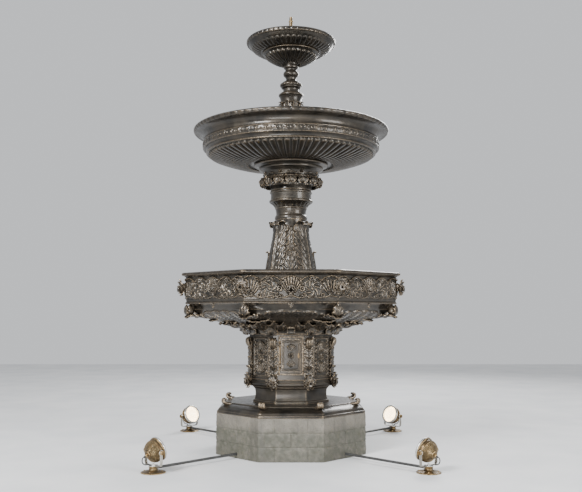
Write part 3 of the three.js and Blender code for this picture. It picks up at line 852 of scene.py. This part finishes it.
# ---------- lower basin ----------
def bell_edge(across, along, size, run):
    """The outer ends of the bell's leaves, high at the middle of each face and low towards its corners."""
    height = np.interp(size, [884, 960, 1040, 1096, 1128], [0, 18, 42, 70, 100])
    u = from_midrib(across, 6)
    edge = 44 + 54 * (1 - np.abs(across) ** 2.6) - 14 * u**2
    veins = 0.5 + 0.5 * np.cos(TAU * (6 * along + 2 * u))
    leafy = 7 + 6 * clamp(1 - u**2) ** 0.5 + 3.5 * veins + 3 * dome(u, 0.14)
    return leafy * clamp((edge - height) / 5)


def corner_hollow(across, along, size, run):
    """The plain cove draws back into a dark hollow towards each corner."""
    beside = clamp((np.abs(across) - 0.5) / 0.42) ** 1.5 * clamp((1 - np.abs(across)) / 0.03)
    return -40 * beside * np.sin(math.pi * clamp(along)) ** 0.6


def basin_pan():
    inner = [(1112, 120), (1090, 100), (1030, 84), (880, 62), (700, 46), (520, 40)]
    pan = cored([
        [(884, 0)],
        ([(960, 18), (1040, 42), (1096, 70), (1126, 98)], bell_edge, 3.6),
        ([(1140, 116), (1152, 136), (1166, 155)], corner_hollow, 4),
        [(1136, 155)],
        (inner, None, 20),
    ], SIDES * 96, BORE, 40, octagon=True)
    corner_leaf = leaf(
        [(900, 10), (980, 20), (1060, 34), (1130, 38), (1176, 30), (1198, 10)], 84, lobes=5, thick=10,
        lift=0.2, along=44, across=26, plan=BROAD,
    )
    hanger = leaf(
        [(1130, 30), (1176, 44), (1202, 76), (1202, 116), (1190, 150)], 62, lobes=3, thick=10, lift=0.22,
        across=20,
    )
    core = shifted(ball((46, 30, 58), 20, 14), 1150, 0, 92)
    cast("basin_pan_leaves", "basin_pan", pan, around(join(corner_leaf, hanger, core), SIDES, HALF_SIDE))


def frieze_relief(across, along, size, run):
    """Acanthus scrolls on one face of the basin, under a wavy edge that rises over each of them."""
    x = across * size * HALF_WIDTH
    side, y = np.abs(x), along * 230
    top = 172 + 48 * np.abs(np.cos(math.pi * side / 194)) ** 0.8 + 3 * np.sin(side / 5)
    ridge = 20 * dome(y - top, 9)
    ground = np.where(y < top, -3 + 2.5 * np.sin(x / 11) * np.sin(y / 9), -10)
    centre = 17 * palmette(x, y - 6, 206, 9, 0.68)
    swirl = 15 * roundel(side - 208, y - 96, 84, 7, 5) - 3
    outer = 16 * palmette(side - 388, y - 10, 176, 7, 0.74)
    crown = 13 * palmette(side - 208, y - 156, 58, 7, 1.2)
    curls = [14 * curl(side - a, y - b, size_) for a, b, size_ in (
        (84, 178, 19), (110, 98, 21), (108, 146, 12), (130, 40, 16), (96, 30, 11), (252, 18, 10),
        (306, 112, 19), (300, 160, 14), (306, 34, 17), (336, 192, 13), (166, 14, 9), (440, 60, 14),
        (440, 130, 14),
    )]
    stem = 12 * dome(y - 20 - 10 * np.cos(TAU * side / 194), 8)
    relief = np.maximum.reduce([ground, ridge, centre, swirl, outer, crown, stem, *curls])
    return relief * np.clip((458 - side) / 8, 0.15, 1)


def basin_frieze():
    shape = sweep([
        [(1200, 0)], [(1208, 8), (1206, 17)], [(1196, 25), (1200, 45)],
        ([(1210, 145), (1202, 275)], frieze_relief, 3.4),
        [(1212, 284), (1226, 295)], [(1170, 295)], [(1150, 145)], [(1140, 0)],
    ], SIDES * 160, octagon=True)
    drop = join(flat_leaf(50, 26, 14, 18, lobes=3), shifted(ball((10, 10, 10), 16, 12), 46, 0, 12))
    drop = moved(drop, spin(-math.pi / 2, "Z"))
    drops = [outward_at(drop, 1198 * FLAT, 12, angle) for angle in FACES]
    cast("basin_frieze_relief", "basin_frieze", join(shape, *drops))


def basin_coping():
    shape = sweep([
        [(1236, 0)], [(1249, 6), (1251, 18), (1246, 29), (1234, 35)], [(1200, 37), (1150, 36), (1134, 30)],
        [(1128, 20), (1130, 0)],
    ], SIDES * 40, octagon=True)
    cast("basin_coping_lip", "basin_coping", shape)


def corner_spouts():
    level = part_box("corner_spout_ring")
    level = (level[0].z + level[1].z) / 2 / MM
    wall = 1206
    gallery = sweep([
        [(1132, level - 18)], [(1136, level - 12)], [(1136, level + 12)], [(1132, level + 18)],
        [(1104, level + 18)], [(1104, level - 18)],
    ], SIDES * 12, octagon=True)
    length = wall - 1120
    feed = shifted(lathe([(0, 0), (20, 0), (20, length), (0, length)], 16, 40), z=-length - 12)
    spouts = [outward_at(join(leaf_head(78, 13), feed), wall + 12, level, angle) for angle in CORNERS]
    piece("corner_leaf_spouts", join(gallery, *spouts), "fountain", IRON, ["corner_spout_ring"])


# ---------- column ----------
def column_base():
    core = cored([
        [(330, 0)], [(334, 18), (330, 36)], [(300, 64), (284, 130), (290, 190), (308, 230)],
        [(318, 240), (318, 250), (312, 260)],
    ], 96, BORE, 260)
    leaves = ring_of_leaves(
        [(312, 44), (296, 100), (298, 160), (316, 208), (334, 198)], 62, 12, along=26, thick=7
    )
    cast("column_base_leaves", "column_base", join(core, leaves))


def column_shaft():
    core = cored([
        [(290, 0)],
        [(290, 60), (272, 160), (246, 356), (228, 440), (208, 540), (190, 640),
          (178, 716), (172, 760), (174, 800)],
    ], 96, BORE, 800)
    big = ring_of_leaves(
        [(296, 8), (292, 110), (272, 240), (250, 380), (228, 500), (206, 620), (204, 690),
         (222, 744), (250, 766), (266, 752), (264, 728)], 168, 4, 2 * HALF_SIDE, lobes=11, thick=9,
        along=120, across=48, lift=0.1, vein=0.03, plan=(0.95, 1, 0.98, 0.82, 0.72, 0.5),
    )
    small = ring_of_leaves(
        [(302, 4), (298, 110), (280, 220), (264, 330), (254, 400), (262, 440), (284, 436)],
        96, 4, lobes=7, thick=8, along=70, across=32, lift=0.12, vein=0.04, plan=(0.8, 0.9, 1, 0.8, 0.5, 0.3),
    )
    stem = ring_of_leaves(
        [(224, 430), (208, 540), (192, 640), (188, 690), (200, 720)], 40, 4, lobes=6, thick=7, along=40,
    )
    knob = moved(ball((24, 24, 22), 16, 10), spin(math.pi / 2, "X"))
    curls = around(shifted(knob, 312, 0, 30), SIDES, 0.2)
    cast("column_shaft_acanthus", "column_shaft", join(core, big, small, stem, curls))


def column_collar():
    def tongues(across, along, size, run):
        return 5 * dome(beat(across, 20), 0.42) * clamp(np.minimum(along, 1 - along) * 6)

    shape = cored([
        [(180, 0)], [(184, 20), (180, 40)], [(170, 56), (170, 90), (176, 122)], [(182, 128), (180, 138)],
        ([(190, 160), (214, 184), (232, 192)], tongues, 3),
        [(244, 200), (247, 212), (241, 224), (229, 228)], [(229, 296)],
        [(238, 302), (240, 313), (238, 322), (232, 330)],
    ], 320, BORE, 330)
    cast("column_collar_casting", "column_collar", shape)


def capital_swags(across, along, size, run):
    """Hanging swags and rosettes round the bell of the capital, over dark recesses."""
    u = beat(across, SIDES)
    half = math.pi * size / SIDES
    x, y = u * 2 * half, run
    swag = 10 * dome(y - (16 + 30 * (2 * u) ** 2), 8)
    flower = 13 * roundel(x, y - 44, 20, 6, 0) * (np.abs(x) < 22)
    pin = 13 * dome(np.hypot(np.abs(x) - half, y - 36), 17)
    recess = -12 * clamp(np.sin(math.pi * clamp(along * 1.05))) ** 0.6
    return np.maximum.reduce([swag, flower, pin, recess + 0 * x])


def column_capital():
    core = cored([
        [(232, 0)], [(233, 66), (244, 84)], [(296, 104), (326, 122)], [(332, 138), (322, 150)],
        ([(306, 166), (316, 200), (344, 228)], capital_swags, 2.4),
        [(362, 240), (366, 252), (362, 266)], [(376, 274), (414, 282)], [(420, 292), (416, 302)],
    ], 560, BORE, 302)
    fringe = ring_of_leaves(
        [(240, 84), (268, 112), (308, 136), (342, 132), (358, 100), (350, 66), (338, 58)],
        68, 16, lobes=5, thick=6, along=44, across=20, lift=0.22, plan=CUPPED,
    )
    under = ring_of_leaves(
        [(236, 66), (262, 92), (292, 106), (314, 92), (318, 62), (308, 40)], 60, 16, TAU / 32,
        thick=6, along=36, lift=0.22, plan=CUPPED,
    )
    cast("column_capital_leaves", "column_capital", join(core, fringe, under))


# ---------- middle bowl, baluster and top bowl ----------
def middle_bowl():
    rim = radius("middle_bowl")

    def eggs(across, along, size, run):
        x, y = beat(across, 60) * TAU * size / 60, run - 28
        egg = 7 * dome(np.hypot(x, y * 0.72), 17)
        frame_ring = 5 * dome(np.hypot(x, y * 0.72) - 23, 4)
        dart = 5 * dome(np.hypot(np.abs(x) - TAU * size / 120, y * 0.5), 6)
        return np.maximum(np.maximum(egg, frame_ring), dart)

    inside = [
        (1050, 368), (990, 338), (968, 288), (960, 198), (930, 160), (850, 118), (740, 80), (600, 48),
        (420, 36),
    ]
    shape = sweep([
        [(480, 6)],
        ([(640, 18), (745, 44), (852, 78), (912, 100), (934, 110)], gadroons(72, 20, 432), 5),
        [(944, 110)], [(956, 110), (964, 119), (958, 129), (948, 130)], [(956, 148), (972, 164)],
        [(992, 162), (1002, 171), (998, 181)],
        ([(1000, 208), (998, 236)], eggs, 4),
        [(1002, 244), (994, 252)], [(990, 276), (996, 304), (1014, 328), (1046, 344), (1072, 350)],
        ([(1090, 354), (rim - 6, 366), (rim - 3, 380), (rim - 10, 394)], scallops(84, 7), 3),
        [(rim - 24, 400), (rim - 40, 396)],
        (inside, None, 16),
        [(BORE, 36)], [(BORE, 6)],
    ], 72 * 10)
    cast("middle_bowl_gadroons", "middle_bowl", shape)


def baluster_vase():
    def flutes(across, along, size, run):
        fade = clamp(np.minimum(run - 10, 600 - run) / 30)
        return -5 * dome(beat(across, 16), 0.4) * fade

    core = cored([
        [(206, 0)], [(214, 12), (212, 28), (204, 38)], [(176, 58), (148, 90), (120, 134)],
        ([(92, 254), (88, 354), (104, 474), (114, 594), (116, 674)], flutes, 8),
        [(122, 678), (124, 688), (118, 696)], [(122, 732), (134, 764)], [(142, 772), (142, 784), (138, 792)],
    ], 192, BORE, 792)
    foot_leaves = ring_of_leaves(
        [(190, 42), (150, 84), (122, 140), (108, 200), (116, 232), (130, 224)], 44, 8,
    )
    upper_leaves = ring_of_leaves(
        [(108, 474), (114, 560), (120, 640), (138, 690), (154, 678)], 36, 8, HALF_SIDE, along=28, across=16,
    )
    cast("baluster_vase_leaves", "baluster_vase", join(core, foot_leaves, upper_leaves))


def baluster_knop():
    def beads(across, along, size, run):
        return 8 * dome(beat(across, 12), 0.48) * np.sin(math.pi * along) - 2

    shape = cored([
        [(126, 0)], [(122, 12), (94, 25)], [(90, 42), (92, 60)], [(108, 72), (116, 86)],
        ([(122, 98), (122, 116), (112, 130)], beads, 2.5),
        [(92, 146), (70, 156), (56, 176)], [(62, 196), (84, 220)], [(90, 241), (84, 262)],
        [(68, 276), (66, 292), (72, 302)], [(84, 314), (86, 326), (84, 350), (90, 370)],
    ], 192, BORE, 370)
    cast("baluster_knop_casting", "baluster_knop", shape)


def top_cup():
    shape = sweep([
        [(90, 0)],
        ([(170, 18), (245, 58), (296, 92)], gadroons(28, 20, 196), 3),
        [(318, 102), (328, 112), (322, 124)], [(296, 124)], [(286, 108), (238, 76), (160, 38), (BORE, 30)],
        [(BORE, 0)],
    ], 28 * 18)
    cast("top_cup_gadroons", "top_cup", shape)


def top_bowl():
    rim = radius("top_bowl")

    def tongues(across, along, size, run):
        end = np.clip(run - 100, 0, None) / 34
        return 8 * dome(np.hypot(2.1 * beat(across, 44), end), 1) * clamp(run / 20)

    shape = cored([
        [(340, 0)],
        ([(360, 5), (420, 32), (470, 70), (496, 98)], tongues, 4),
        ([(rim - 4, 104), (rim - 2, 118), (rim - 3, 132), (rim - 10, 143)], scallops(48, 5), 3),
        [(rim - 24, 145)], [(480, 118), (440, 78), (400, 46), (330, 20)],
    ], 44 * 12, BORE, 20)
    cast("top_bowl_dish", "top_bowl", shape)


def jet_nozzle():
    pivot = high("jet_nozzle") - 252
    shape = sweep([
        [(20, -31)], [(32, -16), (36, 0), (32, 16), (25, 28)],
        [(26, 34), (29, 36), (29, 44), (25, 46), (22, 60)], [(22, 188)], [(26, 192), (26, 204), (21, 208)],
        [(18, 252)], [(12, 252)], [(12, -34)],
    ], 40)
    piece("jet_nozzle_turned", shifted(shape, z=pivot), "jet_nozzle", BRONZE, ["jet_nozzle"])


# ---------- pool lights ----------
LENS_REST = math.radians(-20)
TILT_AXIS = 190  # the height of the head's tilt axis


def fins(across, along, size, run):
    """Cooling fins that go round a housing."""
    return 0 * across + 3 * (0.5 + 0.5 * np.cos(TAU * run / 11)) ** 1.5


def disc(size, height, columns):
    return lathe([(0, 0), (size, 0), (size, height), (0, height)], columns, 4)


def hexagon(size, height):
    return lathe([(0, 0), (size, 0), (size, height - 1), (size - 1.5, height), (0, height)], 6, 100)


def domed_screw(size):
    outline = [(0, 0), (1, 0), (1, 0.25), (0.8, 0.6), (0.4, 0.8), (0, 0.85)]
    return lathe([(r * size, z * size) for r, z in outline], 14, 1)


def pool_light_stand():
    """Everything of a pool light's foot, with the pan axis along +Z."""
    foot = lathe([
        (0, 0), (115, 0), (116, 5), (112, 9), (98, 13), (78, 16), (56, 19), (48, 24), (42, 28), (40, 34),
        (40, 50), (42, 54), (42, 58), (38, 60), (0, 60),
    ], 64, 6)
    bolt = join(disc(12, 2, 18), shifted(hexagon(8, 7), z=2))
    return join(foot, around(shifted(bolt, 86, 0, 12), 4, 0.6))


def pool_light_yoke():
    """The bent steel strap: a round pivot plate with an arm up each side of the head."""
    plate = shifted(lathe([(0, 0), (44, 0), (45, 1), (45, 5), (44, 6), (0, 6)], 40, 8), z=60.4)
    path = [(121.5, 206), (121.5, 150), (121.5, 92), (116, 72), (100, 64), (50, 63.4)]
    arms = []
    for side in (-1, 1):
        arms.append(strap([(0, side * y, z) for y, z in path], 30, 6))
        ear = lathe([(0, 0), (24, 0), (25, 1), (25, 6), (24, 7), (0, 7)], 36, 8)
        ear = moved(ear, spin(-math.pi / 2, "X"))
        arms.append(shifted(ear, 0, 118 if side > 0 else -125, TILT_AXIS))
    nut = shifted(join(hexagon(15, 9), shifted(domed_screw(8), z=9)), z=66.4)
    return join(plate, nut, *arms)


def strap(path, width, thickness):
    """A flat bar with rounded bends along a line in the YZ plane."""
    line = smooth_line(path, 3)
    over = np.cross((1, 0, 0), unit(np.gradient(line, axis=0)))
    bevel = 1.2
    x, y = width / 2, thickness / 2
    side = [(x, bevel - y), (x, y - bevel), (x - bevel, y), (bevel - x, y)]
    ring = np.array([*side, *[(-a, -b) for a, b in side]])
    verts = line[:, None] + ring[None, :, :1] * np.array([1.0, 0, 0]) + ring[None, :, 1:] * over[:, None]
    verts = np.concatenate([verts.reshape(-1, 3), [line[0], line[-1]]])
    return verts, grid_faces(len(line), len(ring), False), end_caps(len(line), len(ring))


def pool_light_housing():
    """The cast head, with its opening facing +Z and the tilt axis along Y through the origin."""
    def fading_fins(across, along, size, run):
        return 1.5 * fins(across, along, size, run) * clamp(run / 10)

    body = sweep([
        [(34, -78)], [(40, -74), (42, -64)],
        ([(60, -56), (80, -44), (98, -12), (101, 2)], fading_fins, 2.2),
        [(104, 10), (104, 32)], [(110, 35), (112, 40), (112, 46), (110, 48)],
        [(96, 48)], [(96, 30)], [(88, 20), (60, -36), (30, -66)], [(0.5, -66)], [(0.5, -78)],
    ], 96)
    sides = []
    for side in (-1, 1):
        axle = [(0, 0), (9, 0), (9, 26), (19, 27), (20, 29), (20, 40), (18, 43), (6, 44), (0, 44)]
        lugs = around(shifted(ball((4, 4, 7), 8, 6), 18, 0, 35), 8)
        knob = moved(join(lathe(axle, 30, 4), lugs), spin(-side * math.pi / 2, "X"))
        sides.append(shifted(knob, 0, side * 99, 0))
    gland = join(
        disc(18, 3, 30), shifted(hexagon(15, 8), z=3),
        shifted(lathe([(0, 0), (12, 0), (11, 5), (8, 8), (0, 8)], 24, 3), z=11),
    )
    gland = shifted(moved(gland, spin(math.pi, "X")), z=-78)
    return join(body, *sides, gland)


def pool_light_cord():
    """The rubber cord that leaves the back of the head, loops down and goes into the yoke's plate."""
    line = [(-36, 60), (-37, 72), (-58, 79), (-92, 82), (-118, 98), (-126, 122), (-120, 142), (-106, 151.5),
            (-96, 155), (-84, 159.4)]
    cord = pipe([(x, 0, z) for x, z in line], 5, 14, 4)
    sleeve = pipe([(x, 0, z) for x, z in line[-3:]], (7.5, 7.5, 8), 14, 4)
    grommet = shifted(lathe([(0, 0), (10, 0), (9, 4), (6, 7), (0, 7)], 20, 2), -36.5, 0, 67)
    return join(cord, sleeve, grommet)


def pool_light_bezel():
    ring = sweep([
        [(112, 48.4)], [(114, 52), (113, 60), (108, 65), (102, 66.5)], [(96, 66), (92, 62)], [(93, 48.4)],
    ], 96)
    screws = around(shifted(domed_screw(5.5), 102, 0, 65.6), 6, 0.26)
    return join(ring, screws)


def pool_light_lens():
    """A thick pressed-glass lens with a domed face."""
    return lathe([
        (0, 34), (60, 34), (91, 34), (92, 36), (92, 60), (88, 63), (74, 66.5), (55, 69), (30, 70.6), (0, 71),
    ], 72, 6)


def pool_light_reflector():
    """A silvered bowl with the lamp standing in it."""
    bowl = sweep([
        ([(52, -22), (80, 12), (88, 30)], lambda a, v, r, run: 1.2 * np.cos(a * 24) + 0 * v, 4),
        [(86, 30.8)], [(77, 13), (50, -18), (14, -36)], [(14, -40)],
    ], 192)
    lamp = shifted(ball((17, 17, 22), 24, 14), z=-16)
    return join(bowl, lamp)


def pool_lights():
    for n in (1, 2, 3, 4):
        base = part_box(f"light_{n}_base")
        place = Vector(((base[0].x + base[1].x) / 2, (base[0].y + base[1].y) / 2)) / MM
        turn = math.atan2(-place.y, -place.x)
        at_foot = Matrix.Translation((place.x, place.y, 0)) @ spin(turn, "Z")
        facing = spin(math.pi / 2 + LENS_REST, "Y")
        at_head = at_foot @ Matrix.Translation((0, 0, TILT_AXIS)) @ facing
        head, yoke = f"light_{n}_head", f"light_{n}_yoke"
        cord = piece(f"light_{n}_cord", moved(pool_light_cord(), at_foot), None, RUBBER)
        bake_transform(cord)
        for name, shape, at, body, material, slot, node in (
            ("foot", pool_light_stand(), at_foot, "fountain", BRONZE, "bronze", "base"),
            ("strap", pool_light_yoke(), at_foot, yoke, STEEL, "steel", "yoke"),
            ("can", pool_light_housing(), at_head, head, BRONZE, "bronze", "housing"),
            ("ring", pool_light_bezel(), at_head, head, STEEL, "steel", "bezel"),
            ("glass", pool_light_lens(), at_head, head, LENS, "lens", "lens"),
            ("lamp", pool_light_reflector(), at_head, head, LAMP, "reflector", "reflector"),
        ):
            piece(f"light_{n}_{name}", moved(shape, at), body, material, [f"light_{n}_{node}"])


# ---------- lights in the basins ----------
def basin_lights():
    """The two lights that stand on the floor of the lower basin and look straight up."""
    housing = join(
        sweep([
            [(92, 0)], [(93, 5), (88, 9), (72, 13)],
            ([(76, 56)], fins, 1.8),
            [(84, 61), (86, 64), (85, 70)], [(66, 70)], [(63.5, 66)], [(63.5, 26)], [(12, 26)], [(12, 0)],
        ], 80),
        around(shifted(domed_screw(4.5), 75, 0, 69.6), 6),
        around(shifted(hexagon(7, 6), 82, 0, 8), 4, 0.4),
    )
    lens = [(0, 52), (40, 50), (62, 48), (62.5, 50), (62.5, 65), (58, 69), (40, 74), (20, 77), (0, 78)]
    lens = lathe(lens, 60, 5)
    lamp = lathe([(0, 27), (50, 27), (61, 46), (58, 46), (46, 31), (14, 30), (13, 42), (0, 46)], 60, 4)
    for side in ("left", "front"):
        lo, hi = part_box(f"basin_light_{side}_housing")
        place = [(a + b) / 2 / MM for a, b in zip(lo[:2], hi[:2])] + [lo.z / MM]
        name = f"basin_light_{side}"
        piece(f"{name}_can", shifted(housing, *place), "fountain", BRONZE, [f"{name}_housing"])
        piece(f"{name}_glass", shifted(lens, *place), "fountain", LENS, [f"{name}_lens"])
        piece(f"{name}_lamp", shifted(lamp, *place), "fountain", LAMP)


def ring_light():
    """The glazed trough round the jet, with its lamps under the glass."""
    trough = join(
        sweep([
            [(122, 0)], [(124, 3), (124, 27), (121, 31)], [(114, 31)], [(113, 12)], [(71, 12)], [(70, 31)],
            [(63, 31), (60, 27), (60, 3)], [(62, 0)],
        ], 96),
        around(shifted(domed_screw(3.5), 118.5, 0, 30.6), 12),
    )
    glass = sweep([[(112.6, 18)], [(112.6, 26), (104, 30), (92, 31), (80, 30), (71.4, 26)], [(71.4, 18)]], 96)
    lamps = around(shifted(ball((7, 7, 4), 14, 8), 92, 0, 14.5), 16)
    place = low("top_ring_light")
    piece("top_ring_trough", shifted(trough, z=place), "fountain", STEEL, ["top_ring_light"])
    piece("top_ring_lens", shifted(glass, z=place), "fountain", LENS, ["top_ring_glass"])
    piece("top_ring_lamps", shifted(lamps, z=place), "fountain", LAMP)


# ---------- pieces kept from the CAD ----------
def dress(name, material, bevel=0.0015):
    """Gives a CAD node its material and rounds its edges a little."""
    made = bpy.data.objects[name]
    made.data.materials.clear()
    made.data.materials.append(material)
    rounding = made.modifiers.new("soft_edges", "BEVEL")
    rounding.width = bevel
    rounding.segments = 2
    rounding.limit_method = "ANGLE"
    rounding.angle_limit = math.radians(35)


def kept_nodes():
    dress("pedestal_body", PLAIN_IRON, 0.002)
    for name in ("door_hinge_pin", "door_latch", "valve_body", "pump_impeller"):
        dress(name, PLAIN_BRONZE, 0.001)
    for name in ("riser_lower", "riser_upper", "valve_lever"):
        dress(name, PLAIN_STEEL, 0.001)
    for name in ("pump_body", "conduit_harness"):
        dress(name, PLASTIC, 0.0015)


# ---------- stage ----------
def floor_and_lights():
    look = Look("pale_floor")
    tone = look.mix(look.patches(1.5, 4, 0.3, 0.7), (0.6, 0.61, 0.62), (0.7, 0.7, 0.7))
    look.done(Base_Color=tone, Roughness=0.7)
    mesh = bpy.data.meshes.new("floor")
    half, level = 14, -0.002
    corners = [(x * half, y * half, level) for x, y in ((-1, -1), (1, -1), (1, 1), (-1, 1))]
    mesh.from_pydata(corners, [], [range(4)])
    mesh.materials.append(look.material)
    ground = bpy.data.objects.new("floor", mesh)
    bpy.context.scene.collection.objects.link(ground)
    world = bpy.data.worlds.new("pale_world")
    world.use_nodes = True
    world.node_tree.nodes["Background"].inputs["Color"].default_value = (0.86, 0.88, 0.91, 1)
    world.node_tree.nodes["Background"].inputs["Strength"].default_value = 0.85
    bpy.context.scene.world = world
    for name, place, size, power in (
        ("key", (-5.5, -7.5, 7.0), 3.0, 1700), ("fill", (7.0, -6.0, 3.0), 4.0, 800),
        ("back", (3.0, 7.5, 7.0), 4.0, 800), ("low", (-1.5, -6.0, 0.3), 3.0, 420),
    ):
        lamp = bpy.data.lights.new(name, "AREA")
        lamp.size = size
        lamp.energy = power
        made = bpy.data.objects.new(name, lamp)
        made.location = place
        aim = Vector((0, 0, 2.2)) - Vector(place)
        made.rotation_euler = aim.to_track_quat("-Z", "Y").to_euler()
        bpy.context.scene.collection.objects.link(made)


def camera():
    view = bpy.data.cameras.new("camera")
    view.lens = 47.6
    view.shift_y = -0.057
    made = bpy.data.objects.new("camera", view)
    made.location = (0, -8.633, 1.459)
    made.rotation_euler = (math.radians(90 + 7.44), 0, 0)
    bpy.context.scene.collection.objects.link(made)
    bpy.context.scene.camera = made


stone_plinth()
iron_base()
pedestal_foot()
pedestal_spout_collar()
pedestal_relief()
pedestal_capital()
access_door()
basin_pan()
basin_frieze()
basin_coping()
corner_spouts()
column_base()
column_shaft()
column_collar()
column_capital()
middle_bowl()
baluster_vase()
baluster_knop()
top_cup()
top_bowl()
jet_nozzle()
pool_lights()
basin_lights()
ring_light()
kept_nodes()
floor_and_lights()
camera()
